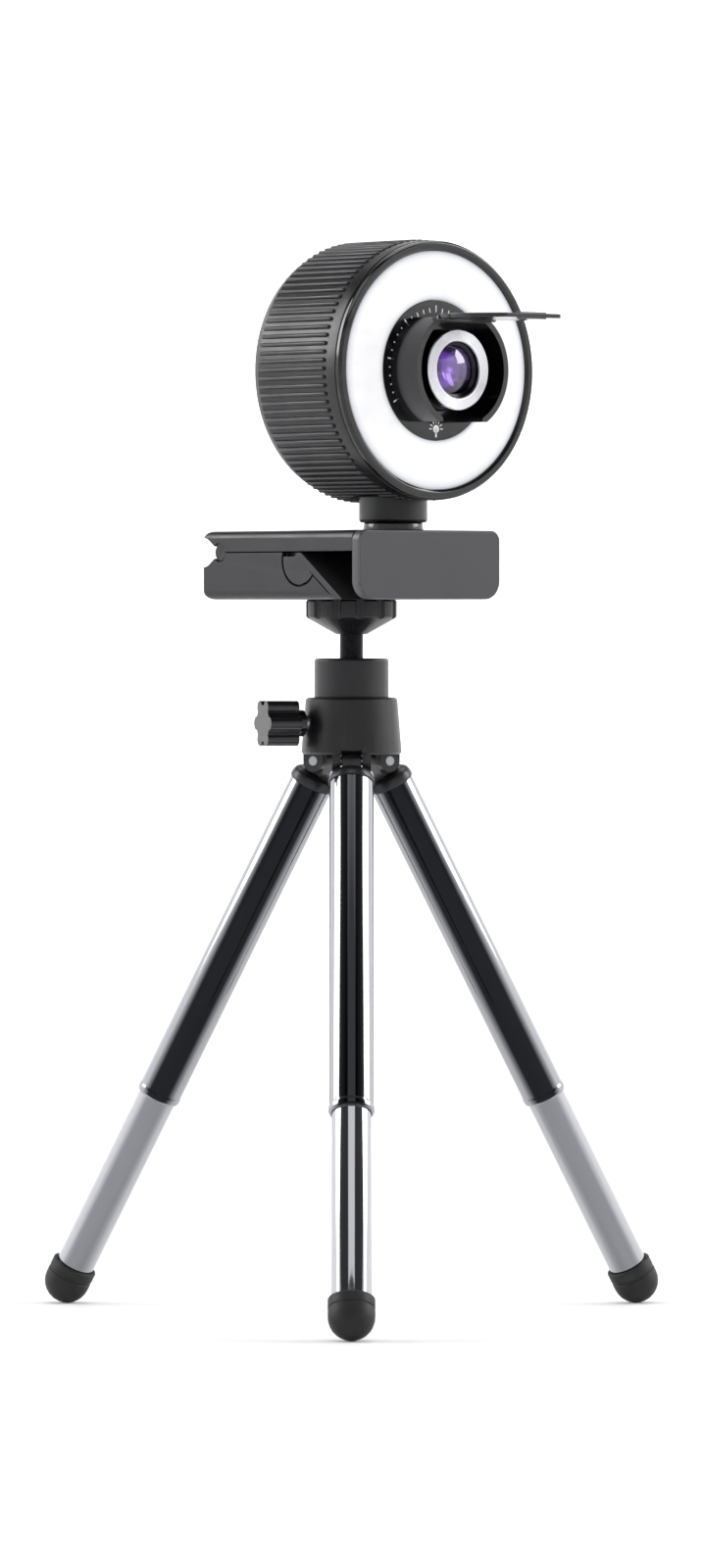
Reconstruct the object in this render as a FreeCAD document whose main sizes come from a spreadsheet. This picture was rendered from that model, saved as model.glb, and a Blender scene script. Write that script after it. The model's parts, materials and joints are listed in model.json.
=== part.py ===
import FreeCAD, Part
import math
import os
import re
import Sketcher

# A ring-light webcam with a folding monitor clip, on a mini tripod with a ball head.
# Millimetres. +Z is up and the camera looks along -Y. The origin is on the tabletop,
# under the tripod's axis.

doc = FreeCAD.newDocument("webcam_on_tripod")
sheet = doc.addObject("Spreadsheet::Sheet", "Sizes")

# Driving dimensions. Heights ending in _level are measured from the tabletop.
SIZES = dict(
    # tripod
    hub_bottom_level=151.0, hub_height=15.3, hub_top_radius=12.35, hub_bottom_radius=13.5,
    hub_floor=5.6, socket_radius=7.9,
    collar_radius=10.0, collar_height=10.5,
    ball_level=167.0, ball_radius=6.3, stem_radius=3.15,
    platform_level=183.3, platform_cone=4.3, platform_radius=12.2,
    stud_radius=3.1, stud_reach=5.0,
    pin_level=149.2, pin_circle=9.0, leg_pin_radius=1.25, ear_radius=3.0, lug_radius=2.6,
    lug_half=2.6, ear_gap=0.3, ear_thickness=2.3,
    cap_radius=6.2, cap_start=3.6, cap_end=7.0,
    upper_radius=5.9, upper_bore=5.35, upper_end=105.4,
    lower_radius=5.2, lower_wall=0.6, lower_start=85.4,
    foot_radius=6.2, foot_collar=5.2, leg_tilt=29.5, first_leg=-41.0,
    knob_level=159.4, knob_azimuth=-110.0, knob_radius=5.9, knob_start=16.5, knob_end=25.5,
    # clip
    clip_level=192.6, clip_half=25.0, clip_front=-32.0, clip_rear=32.0, clip_top_level=211.0,
    plate_thickness=3.0, seam_level=205.25, seam_half=0.15, clip_wall=2.2,
    hinge_setback=6.5, groove_radius=3.9, knuckle_radius=2.2, knuckle_gap=0.4, hinge_pin_radius=1.0,
    flap_front=-25.0, flap_slope=36.5, flap_thickness=1.8, flap_knuckle=2.1, cheek_radius=6.5,
    flap_pin_radius=0.8, insert_radius=4.6, insert_height=6.0,
    # neck
    neck_setback=15.0, neck_radius=9.15, neck_collar_radius=8.2, neck_collar_height=2.1,
    neck_top_level=221.0, spindle_radius=4.0,
    tilt_level=227.0, tongue_half=3.0, tongue_radius=4.0, tilt_pin_radius=1.5,
    # head
    drum_level=253.5, drum_radius=35.0, drum_half=18.0, rib_radius=0.62, rib_count=96.0,
    band_width=5.5, shell_wall=2.4, bezel_depth=1.8, bezel_bore=31.8,
    panel_radius=18.7, face_recess=0.7, barrel_radius=10.6, lens_reach=9.0, lens_radius=6.4,
    slot_half_width=9.7, slot_half_length=12.4,
    frame_radius=16.25, frame_half=13.8, frame_depth=10.7, frame_wall=1.6,
    flap_reach=26.6, shutter_thickness=1.1,
    grommet_bore=2.0, grommet_drop=18.0,
)
for row, (alias, value) in enumerate(SIZES.items(), start=1):
    sheet.set(f"A{row}", alias)
    sheet.set(f"B{row}", f"{value}")
    sheet.setAlias(f"B{row}", alias)
doc.recompute()

X_AXIS = FreeCAD.Vector(1, 0, 0)
Y_AXIS = FreeCAD.Vector(0, 1, 0)
Z_AXIS = FreeCAD.Vector(0, 0, 1)
TURN_TO = {
    "X": FreeCAD.Rotation(Y_AXIS, 90),
    "Y": FreeCAD.Rotation(X_AXIS, -90),
    "Z": FreeCAD.Rotation(),
}
sub_parts = []


# ---------------------------------------------------------------- helpers

def bound(text):
    """A formula in the sheet's words, written the way an expression needs it."""
    return re.sub(r"[a-z]+(_[a-z]+)+", lambda word: "Sizes." + word.group(), str(text))


def number(text):
    """The value that a formula has now."""
    return float(sheet.evalExpression(bound(text)))


def bind(thing, **formulas):
    """Ties an object's sizes to the sheet."""
    for name, text in formulas.items():
        thing.setExpression(name.replace("__", "."), bound(text))
    return thing


def sub_part(thing, label, placement=None):
    """Names a finished piece and puts it in its place."""
    thing.Label = label
    if placement is not None:
        thing.Placement = placement
    sub_parts.append(thing)
    return thing


def place(thing, x="0", y="0", z="0"):
    """Puts an object's own origin at a point given by formulas."""
    return bind(thing, Placement__Base__x=x, Placement__Base__y=y, Placement__Base__z=z)


def box(name, x, y, z):
    """A block between low and high formulas along each axis."""
    block = doc.addObject("Part::Box", name)
    bind(
        block,
        Length=f"({x[1]}) - ({x[0]})",
        Width=f"({y[1]}) - ({y[0]})",
        Height=f"({z[1]}) - ({z[0]})",
    )
    return place(block, x[0], y[0], z[0])


def rod(name, axis, radius, low, high, x="0", y="0", z="0"):
    """A cylinder along one axis, from low to high, through the point given by the others."""
    cylinder = doc.addObject("Part::Cylinder", name)
    cylinder.Placement = FreeCAD.Placement(FreeCAD.Vector(), TURN_TO[axis])
    bind(cylinder, Radius=radius, Height=f"({high}) - ({low})")
    start = dict(x=x, y=y, z=z)
    start[axis.lower()] = low
    return place(cylinder, **start)


def fuse(name, *pieces):
    """Joins pieces into one."""
    union = doc.addObject("Part::MultiFuse", name)
    union.Shapes = list(pieces)
    union.Refine = True
    return union


def cut(name, base, *tools):
    """Takes tools away from a base."""
    result = doc.addObject("Part::Cut", name)
    result.Base = base
    result.Tool = tools[0] if len(tools) == 1 else fuse(name + "_tools", *tools)
    return result


def common(name, first, second):
    """What two pieces share."""
    result = doc.addObject("Part::Common", name)
    result.Base = first
    result.Tool = second
    return result


def sketch_on(body, plane, name):
    """An empty sketch on one of the body's own origin planes."""
    sketch = body.newObject("Sketcher::SketchObject", name)
    face = next(f for f in body.Origin.OriginFeatures if f.Role == plane)
    sketch.AttachmentSupport = [(face, "")]
    sketch.MapMode = "FlatFace"
    return sketch


def outline(body, plane, name, points):
    """A closed outline of straight sides whose corners are formulas."""
    sketch = sketch_on(body, plane, name)
    corners = [FreeCAD.Vector(number(u), number(v), 0) for u, v in points]
    count = len(corners)
    for i in range(count):
        sketch.addGeometry(Part.LineSegment(corners[i], corners[(i + 1) % count]))
    for i in range(count):
        sketch.addConstraint(Sketcher.Constraint("Coincident", i, 2, (i + 1) % count, 1))
    for i, (point, texts) in enumerate(zip(corners, points)):
        for kind, value, text, axis in (
            ("DistanceX", point.x, texts[0], -2),
            ("DistanceY", point.y, texts[1], -1),
        ):
            if abs(value) < 1e-9:
                sketch.addConstraint(Sketcher.Constraint("PointOnObject", i, 1, axis))
                continue
            index = sketch.addConstraint(Sketcher.Constraint(kind, -1, 1, i, 1, value))
            sketch.setExpression(f"Constraints[{index}]", bound(text))
    return sketch


def turned(name, plane, points):
    """A body made by turning an outline (radius, height) about the sketch's upright axis."""
    body = doc.addObject("PartDesign::Body", name)
    profile = outline(body, plane, name + "_profile", points)
    turn = body.newObject("PartDesign::Revolution", name + "_turn")
    turn.Profile = profile
    turn.ReferenceAxis = (profile, ["V_Axis"])
    turn.Angle = 360
    return body


def pushed(name, plane, points, length):
    """A body made by pushing an outline out evenly to both sides of its plane."""
    body = doc.addObject("PartDesign::Body", name)
    profile = outline(body, plane, name + "_profile", points)
    pad = body.newObject("PartDesign::Pad", name + "_pad")
    pad.Profile = profile
    pad.SideType = "Symmetric"
    bind(pad, Length=length)
    doc.recompute()
    return body


def rounded(body, radius, wanted, kind="Fillet"):
    """Rounds or chamfers the edges of the body that the wanted test picks by their middle."""
    doc.recompute()
    base = body.Tip
    names = []
    for number_of, edge in enumerate(base.Shape.Edges, start=1):
        middle = edge.valueAt((edge.FirstParameter + edge.LastParameter) / 2)
        along = edge.Vertexes[-1].Point - edge.Vertexes[0].Point
        if wanted(middle, along):
            names.append(f"Edge{number_of}")
    feature = body.newObject(f"PartDesign::{kind}", f"{body.Name}_{kind.lower()}_{len(body.Group)}")
    feature.Base = (base, names)
    bind(feature, **{"Radius" if kind == "Fillet" else "Size": radius})
    doc.recompute()
    return body


def compound(label, shapes):
    """Identical small pieces that share one node as separate solids."""
    feature = doc.addObject("Part::Feature", label)
    feature.Shape = Part.makeCompound(shapes)
    return sub_part(feature, label)


def outward(azimuth):
    """The flat direction at an azimuth, where 0 is the camera's front."""
    angle = math.radians(azimuth)
    return FreeCAD.Vector(math.sin(angle), -math.cos(angle), 0)


# ---------------------------------------------------------------- tripod head

def hub():
    """The flared hub: a socket for the ball's seat above and three forks for the legs below."""
    barrel = turned("hub_barrel", "XZ_Plane", [
        ("0", "hub_bottom_level"),
        ("hub_bottom_radius - 0.6", "hub_bottom_level"),
        ("hub_bottom_radius", "hub_bottom_level + 0.6"),
        ("hub_top_radius", "hub_bottom_level + hub_height - 0.6"),
        ("hub_top_radius - 0.6", "hub_bottom_level + hub_height"),
        ("socket_radius", "hub_bottom_level + hub_height"),
        ("socket_radius", "hub_bottom_level + hub_floor"),
        ("0", "hub_bottom_level + hub_floor"),
    ])
    ears = []
    inner = "lug_half + ear_gap"
    outer = "lug_half + ear_gap + ear_thickness"
    for index in range(3):
        for side in (-1, 1):
            low, high = sorted((f"{side} * ({inner})", f"{side} * ({outer})"), key=number)
            name = f"ear_{index}_{'left' if side < 0 else 'right'}"
            block = box(
                name + "_block",
                ("pin_circle - ear_radius", "pin_circle + ear_radius"),
                (low, high),
                ("pin_level", "hub_bottom_level + 0.4"),
            )
            eye = rod(name + "_eye", "Y", "ear_radius", low, high, x="pin_circle", z="pin_level")
            hole = rod(name + "_hole", "Y", "leg_pin_radius", low, high, x="pin_circle", z="pin_level")
            ear = cut(name, fuse(name + "_solid", block, eye), hole)
            ear.Placement = FreeCAD.Placement(FreeCAD.Vector(), leg_turn(index))
            ears.append(ear)
    slots = []
    for index in range(3):
        slot = doc.addObject("Part::Box", f"lug_slot_{index}")
        bind(
            slot,
            Length="hub_bottom_radius + 4 - pin_circle",
            Width=f"2 * ({inner})",
            Height="pin_level + lug_radius + 1 - hub_bottom_level",
        )
        corner = FreeCAD.Vector(number("pin_circle - 3.4"), -number(inner), number("hub_bottom_level - 0.6"))
        slot.Placement = FreeCAD.Placement(leg_turn(index).multVec(corner), leg_turn(index))
        slots.append(slot)
    slotted = cut("slotted_barrel", barrel, *slots)
    bore = doc.addObject("Part::Cylinder", "knob_bore")
    bind(bore, Radius="2.1", Height="hub_bottom_radius + 2 - socket_radius")
    bore.Placement = FreeCAD.Placement(
        outward(number("knob_azimuth")) * number("socket_radius - 1")
        + Z_AXIS * number("knob_level"),
        FreeCAD.Rotation(Z_AXIS, number("knob_azimuth") - 90) * TURN_TO["X"],
    )
    sub_part(cut("hub", fuse("hub_solid", slotted, *ears), bore), "hub")


def collar():
    """The collar on the hub, whose throat holds the ball down and flares for the stem's tilt."""
    base = "hub_bottom_level + hub_height"
    sub_part(turned("collar", "XZ_Plane", [
        ("ball_radius + 0.5", base),
        ("collar_radius", base),
        ("collar_radius", f"{base} + collar_height - 0.5"),
        ("collar_radius - 0.5", f"{base} + collar_height"),
        ("collar_radius - 1.4", f"{base} + collar_height"),
        ("ball_radius - 0.85", "ball_level + 3.9"),
        ("ball_radius + 0.5", "ball_level + 1.2"),
    ]), "collar")


def ball_head():
    """The seat under the ball, the ball with its stem and threaded stud, and the platform."""
    sub_part(turned("ball_seat", "XZ_Plane", [
        ("0", "hub_bottom_level + hub_floor + 0.3"),
        ("socket_radius - 0.3", "hub_bottom_level + hub_floor + 0.3"),
        ("socket_radius - 0.3", "ball_level - 2.8"),
        ("ball_radius - 0.3", "ball_level - 2.8"),
        ("ball_radius - 1.1", "ball_level - 4.1"),
        ("ball_radius - 2.8", "ball_level - 5.6"),
        ("0", "ball_level - 6.7"),
    ]), "ball_seat")

    ball = doc.addObject("Part::Sphere", "ball")
    bind(ball, Radius="ball_radius")
    place(ball, z="ball_level")
    stem = rod("stem", "Z", "stem_radius", "ball_level", "platform_level + 1.5")
    stud = rod("stud", "Z", "stud_radius", "platform_level", "clip_level + stud_reach")
    sub_part(fuse("ball_stem", ball, stem, stud), "ball_stem")

    platform = turned("platform", "XZ_Plane", [
        ("stem_radius", "platform_level"),
        ("stem_radius + 1", "platform_level"),
        ("platform_radius - 0.4", "platform_level + platform_cone"),
        ("platform_radius", "platform_level + platform_cone + 0.5"),
        ("platform_radius", "clip_level - 0.5"),
        ("platform_radius - 0.5", "clip_level"),
        ("stem_radius", "clip_level"),
    ])
    notch = sketch_on(platform, "XY_Plane", "platform_notch")
    notch.addGeometry(Part.Circle(
        FreeCAD.Vector(number("platform_radius + 0.7"), 0, 0), Z_AXIS, 1.5))
    notch.addConstraint(Sketcher.Constraint("PointOnObject", 0, 3, -1))
    index = notch.addConstraint(
        Sketcher.Constraint("DistanceX", -1, 1, 0, 3, number("platform_radius + 0.7")))
    notch.setExpression(f"Constraints[{index}]", bound("platform_radius + 0.7"))
    notch.addConstraint(Sketcher.Constraint("Radius", 0, 1.5))
    pocket = platform.newObject("PartDesign::Pocket", "platform_pocket")
    pocket.Profile = notch
    pocket.Type = "ThroughAll"
    pocket.Reversed = True
    pattern = platform.newObject("PartDesign::PolarPattern", "platform_lobes")
    pattern.Originals = [pocket]
    pattern.Axis = (notch, ["N_Axis"])
    pattern.Angle = 360
    pattern.Occurrences = 12
    platform.Tip = pattern
    sub_part(platform, "platform")


def lock():
    """The lobed knob and its screw, which press on the ball's seat through the hub's side."""
    turn = FreeCAD.Placement(
        Z_AXIS * number("knob_level"),
        FreeCAD.Rotation(Z_AXIS, number("knob_azimuth") - 90),
    )
    core = rod("knob_core", "X", "knob_radius - 1", "knob_start", "knob_end")
    neck = rod("knob_neck", "X", "3.6", "hub_bottom_radius + 0.5", "knob_start")
    lobes = []
    for index in range(6):
        angle = math.radians(60 * index)
        lobes.append(rod(
            f"knob_lobe_{index}", "X", "1.8", "knob_start", "knob_end",
            y=f"(knob_radius - 1) * {math.cos(angle):.6f}",
            z=f"(knob_radius - 1) * {math.sin(angle):.6f}",
        ))
    bore = rod("knob_screw_bore", "X", "2", "hub_bottom_radius", "knob_end - 2")
    knob = cut("lock_knob", fuse("knob_solid", core, neck, *lobes), bore)
    sub_part(knob, "lock_knob", turn)
    shank = rod("lock_shank", "X", "2", "socket_radius + 0.5", "knob_end - 2.1")
    tip = rod("lock_tip", "X", "1.2", "socket_radius - 0.2", "socket_radius + 1")
    sub_part(fuse("lock_screw", shank, tip), "lock_screw", turn)


# ---------------------------------------------------------------- legs

def leg_turn(index):
    """The turn about the tripod's axis that brings +X onto a leg's outward direction."""
    return FreeCAD.Rotation(Z_AXIS, number("first_leg") + 120 * index - 90)


def leg_pins():
    """The three pins that the legs fold about."""
    shapes = []
    reach = number("lug_half + ear_gap + ear_thickness")
    for index in range(3):
        pin = Part.makeCylinder(number("leg_pin_radius"), 2 * reach)
        centre = leg_turn(index).multVec(FreeCAD.Vector(number("pin_circle"), -reach, 0))
        pin.Placement = FreeCAD.Placement(
            centre + Z_AXIS * number("pin_level"), leg_turn(index) * TURN_TO["Y"])
        shapes.append(pin)
    compound("leg_pins", shapes)


def leg(index):
    """One leg, drawn hanging straight down from its pin and then spread to its stop."""
    tag = "abc"[index]
    turn = leg_turn(index)
    spread = FreeCAD.Placement(
        turn.multVec(X_AXIS) * number("pin_circle") + Z_AXIS * number("pin_level"),
        turn * FreeCAD.Rotation(Y_AXIS, -number("leg_tilt")),
    )
    # The foot's round end touches the table, which fixes how long the leg is.
    ball_end = "((pin_level - foot_radius) / cos(leg_tilt * 1deg))"

    cap = turned(f"leg_cap_{tag}", "XZ_Plane", [
        ("0", "-cap_start"),
        ("cap_radius - 1.6", "-cap_start"),
        ("cap_radius - 0.4", "-cap_start - 0.9"),
        ("cap_radius", "-cap_start - 2.2"),
        ("cap_radius", "-cap_end"),
        ("upper_bore", "-cap_end"),
        ("upper_bore", "-cap_end - 9"),
        ("0", "-cap_end - 9"),
    ])
    half = ("-lug_half", "lug_half")
    lug = box(f"leg_lug_{tag}", ("-lug_radius", "lug_radius"), half, ("-cap_start - 1", "0"))
    eye = rod(f"leg_eye_{tag}", "Y", "lug_radius", *half)
    hole = rod(f"leg_eye_hole_{tag}", "Y", "leg_pin_radius + 0.05", *half)
    head = cut(f"leg_head_{tag}", fuse(f"leg_head_solid_{tag}", cap, lug, eye), hole)
    sub_part(head, f"leg_head_{tag}", spread)

    sub_part(turned(f"upper_tube_{tag}", "XZ_Plane", [
        ("upper_bore", "-cap_end"),
        ("upper_radius", "-cap_end"),
        ("upper_radius", "-upper_end + 2"),
        ("upper_radius + 0.15", "-upper_end + 1.5"),
        ("upper_radius + 0.15", "-upper_end + 0.5"),
        ("upper_radius - 0.1", "-upper_end"),
        ("lower_radius + 0.06", "-upper_end"),
        ("lower_radius + 0.06", "-upper_end + 2"),
        ("upper_bore", "-upper_end + 2.5"),
    ]), f"upper_tube_{tag}", spread)

    sub_part(turned(f"lower_tube_{tag}", "XZ_Plane", [
        ("lower_radius - lower_wall", "-lower_start"),
        ("lower_radius", "-lower_start"),
        ("lower_radius", f"-{ball_end} + 1"),
        ("lower_radius - lower_wall", f"-{ball_end} + 1"),
    ]), f"lower_tube_{tag}", spread)

    sub_part(turned(f"slide_bush_{tag}", "XZ_Plane", [
        ("0", "-lower_start + 4"),
        ("upper_bore - 0.35", "-lower_start + 4"),
        ("upper_bore - 0.05", "-lower_start + 3.5"),
        ("upper_bore - 0.05", "-lower_start"),
        ("lower_radius - lower_wall", "-lower_start"),
        ("lower_radius - lower_wall", "-lower_start - 6"),
        ("0", "-lower_start - 6"),
    ]), f"slide_bush_{tag}", spread)

    ball = doc.addObject("Part::Sphere", f"foot_ball_{tag}")
    bind(ball, Radius="foot_radius")
    place(ball, z=f"-{ball_end}")
    sleeve = rod(f"foot_sleeve_{tag}", "Z", "foot_radius", f"-{ball_end}", f"-{ball_end} + foot_collar")
    bore = rod(f"foot_bore_{tag}", "Z", "lower_radius", f"-{ball_end} + 1", f"-{ball_end} + 8")
    foot = cut(f"foot_{tag}", fuse(f"foot_solid_{tag}", ball, sleeve), bore)
    sub_part(foot, f"foot_{tag}", spread)


# ---------------------------------------------------------------- clip

HINGE_Y = "(clip_rear - hinge_setback)"
SLOPE = "(flap_slope * 1deg)"
GROOVE = "asin(groove_radius / hinge_setback)"
GROOVE_REACH = "sqrt(hinge_setback ^ 2 - groove_radius ^ 2)"
RELIEF_Y = f"({HINGE_Y} + {GROOVE_REACH} * cos({GROOVE}))"
RELIEF_DROP = f"({GROOVE_REACH} * sin({GROOVE}))"
# The flap turns about a pin that lies one knuckle radius behind its sloping face.
FLAP_DROP = f"(seam_level - seam_half - flap_knuckle - clip_level + flap_knuckle * cos({SLOPE}))"
FLAP_RUN = f"({FLAP_DROP} / sin({SLOPE}))"
FLAP_PIN_Y = f"(flap_front + {FLAP_RUN} * cos({SLOPE}) + flap_knuckle * sin({SLOPE}))"
FLAP_PIN_Z = "(seam_level - seam_half - flap_knuckle)"


def clip_leg():
    """The clip's lower half: a hollow slab with the tripod thread under its middle."""
    seat = "flap_thickness + 0.35"
    top = "seam_level - seam_half"
    slab = pushed("slab", "YZ_Plane", [
        (f"flap_front + ({seat}) / sin({SLOPE})", "clip_level"),
        ("clip_rear", "clip_level"),
        ("clip_rear", f"seam_level - {RELIEF_DROP}"),
        (RELIEF_Y, f"seam_level - {RELIEF_DROP}"),
        (HINGE_Y, top),
        (f"flap_front + ({seat} + ({top} - clip_level) * cos({SLOPE})) / sin({SLOPE})", top),
    ], "2 * clip_half")
    bottom = number("clip_level")
    side = number("clip_half")
    rear = number("clip_rear")
    rounded(slab, "2.4", lambda mid, along: abs(mid.z - bottom) < 0.01 and (
        abs(abs(mid.x) - side) < 0.01 or abs(mid.y - rear) < 0.01))

    inside = box("slab_inside", ("-clip_half + clip_wall", "clip_half - clip_wall"),
                 ("0", f"{HINGE_Y} - 5"), ("clip_level + clip_wall", "seam_level"))
    step = box("slab_step", ("-clip_half + 1.4", "clip_half - 1.4"),
               ("-1", f"{HINGE_Y} - 4"), ("seam_level - 1.6", "seam_level"))
    groove = rod("slab_groove", "X", "groove_radius", "-clip_half - 1", "clip_half + 1",
                 y="clip_rear", z="seam_level")
    around = "knuckle_radius + knuckle_gap"
    hinge_room = rod("slab_hinge_room", "X", around, "-clip_half - 1", "clip_half + 1",
                     y=HINGE_Y, z="seam_level")
    flap_room = rod("slab_flap_room", "X", "flap_knuckle + 0.4", "-clip_half - 1", "clip_half + 1",
                    y=FLAP_PIN_Y, z=FLAP_PIN_Z)
    cheeks = [
        rod(f"slab_cheek_room_{tag}", "X", "cheek_radius + 0.6", low, high, y=FLAP_PIN_Y, z=FLAP_PIN_Z)
        for tag, low, high in (
            ("left", "-clip_half - 1", "-clip_half + 2.4"),
            ("right", "clip_half - 2.4", "clip_half + 1"),
        )
    ]
    hollow = cut("slab_hollow", slab, inside, step, groove, hinge_room, flap_room, *cheeks)

    boss = rod("insert_boss", "Z", "insert_radius + 2", "clip_level + 1", "clip_level + insert_height + 0.6")
    lugs = []
    for tag, sign in (("left", -1), ("right", 1)):
        low, high = sorted((f"{sign} * 12", f"{sign} * 22"), key=number)
        lugs.append(rod(f"slab_knuckle_{tag}", "X", "knuckle_radius", low, high,
                        y=HINGE_Y, z="seam_level"))
        lugs.append(box(f"slab_web_{tag}", (low, high),
                        (f"{HINGE_Y} - knuckle_radius", f"{HINGE_Y} + knuckle_radius * 0.7"),
                        ("seam_level - 4.5", "seam_level")))
        low, high = sorted((f"{sign} * 12", f"{sign} * 16"), key=number)
        lugs.append(rod(f"slab_flap_eye_{tag}", "X", "flap_knuckle", low, high,
                        y=FLAP_PIN_Y, z=FLAP_PIN_Z))
        lugs.append(box(f"slab_flap_web_{tag}", (low, high),
                        (FLAP_PIN_Y, f"{FLAP_PIN_Y} + 4"),
                        (f"{FLAP_PIN_Z} - flap_knuckle", FLAP_PIN_Z)))
    solid = fuse("slab_solid", hollow, boss, *lugs)
    insert_bore = rod("insert_bore", "Z", "insert_radius", "clip_level - 1", "clip_level + insert_height")
    pin_bore = rod("slab_pin_bore", "X", "hinge_pin_radius", "-24", "24", y=HINGE_Y, z="seam_level")
    flap_bore = rod("slab_flap_bore", "X", "flap_pin_radius", "-24", "24", y=FLAP_PIN_Y, z=FLAP_PIN_Z)
    sub_part(cut("clip_leg_shell", solid, insert_bore, pin_bore, flap_bore), "clip_leg_shell")

    sub_part(box("clip_leg_cover", ("-clip_half + 1.5", "clip_half - 1.5"),
                 ("-0.9", f"{HINGE_Y} - 4.1"), ("seam_level - 1.6", "seam_level - seam_half")),
             "clip_leg_cover")
    sub_part(turned("tripod_insert", "XZ_Plane", [
        ("stud_radius + 0.06", "clip_level + 0.2"),
        ("insert_radius", "clip_level + 0.2"),
        ("insert_radius", "clip_level + insert_height"),
        ("stud_radius + 0.06", "clip_level + insert_height"),
    ]), "tripod_insert")
    sub_part(rod("hinge_pin", "X", "hinge_pin_radius", "-24", "24", y=HINGE_Y, z="seam_level"), "hinge_pin")


def foot_flap():
    """The sloping flap on the slab's front, with a round cheek at each end, and its pin."""
    back_start = f"flap_front + flap_thickness / sin({SLOPE})"
    along = f"({FLAP_RUN})"
    plate = pushed("flap_plate", "YZ_Plane", [
        ("flap_front", "clip_level"),
        (back_start, "clip_level"),
        (f"{FLAP_PIN_Y} + (flap_thickness - flap_knuckle) * sin({SLOPE})",
         f"{FLAP_PIN_Z} - (flap_thickness - flap_knuckle) * cos({SLOPE})"),
        (f"flap_front + {along} * cos({SLOPE})", f"clip_level + {along} * sin({SLOPE})"),
    ], "2 * clip_half")
    knuckle = rod("flap_knuckle_rod", "X", "flap_knuckle", "-clip_half", "clip_half",
                  y=FLAP_PIN_Y, z=FLAP_PIN_Z)
    cheeks = []
    for tag, low, high in (
        ("left", "-clip_half", "-clip_half + 2"),
        ("right", "clip_half - 2", "clip_half"),
    ):
        disc = rod(f"cheek_disc_{tag}", "X", "cheek_radius", low, high, y=FLAP_PIN_Y, z=FLAP_PIN_Z)
        behind = pushed(f"cheek_side_{tag}", "YZ_Plane", [
            (f"{FLAP_PIN_Y} - 8 * cos({SLOPE})", f"{FLAP_PIN_Z} - 8 * sin({SLOPE})"),
            (f"{FLAP_PIN_Y} + 8", f"{FLAP_PIN_Z} - 9"),
            (f"{FLAP_PIN_Y} + 8", f"{FLAP_PIN_Z} + 1"),
            (FLAP_PIN_Y, f"{FLAP_PIN_Z} + 1"),
        ], "2 * clip_half + 2")
        cheeks.append(common(f"cheek_{tag}", disc, behind))
    solid = fuse("flap_solid", plate, knuckle, *cheeks)
    rooms = []
    for tag, sign in (("left", -1), ("right", 1)):
        low, high = sorted((f"{sign} * 11.7", f"{sign} * 16.3"), key=number)
        rooms.append(rod(f"flap_room_{tag}", "X", "flap_knuckle + 0.4", low, high,
                         y=FLAP_PIN_Y, z=FLAP_PIN_Z))
    bore = rod("flap_bore", "X", "flap_pin_radius + 0.05", "-24", "24", y=FLAP_PIN_Y, z=FLAP_PIN_Z)
    sub_part(cut("foot_flap", solid, bore, *rooms), "foot_flap")
    sub_part(rod("flap_pin", "X", "flap_pin_radius", "-23.9", "23.9", y=FLAP_PIN_Y, z=FLAP_PIN_Z), "flap_pin")


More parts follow.
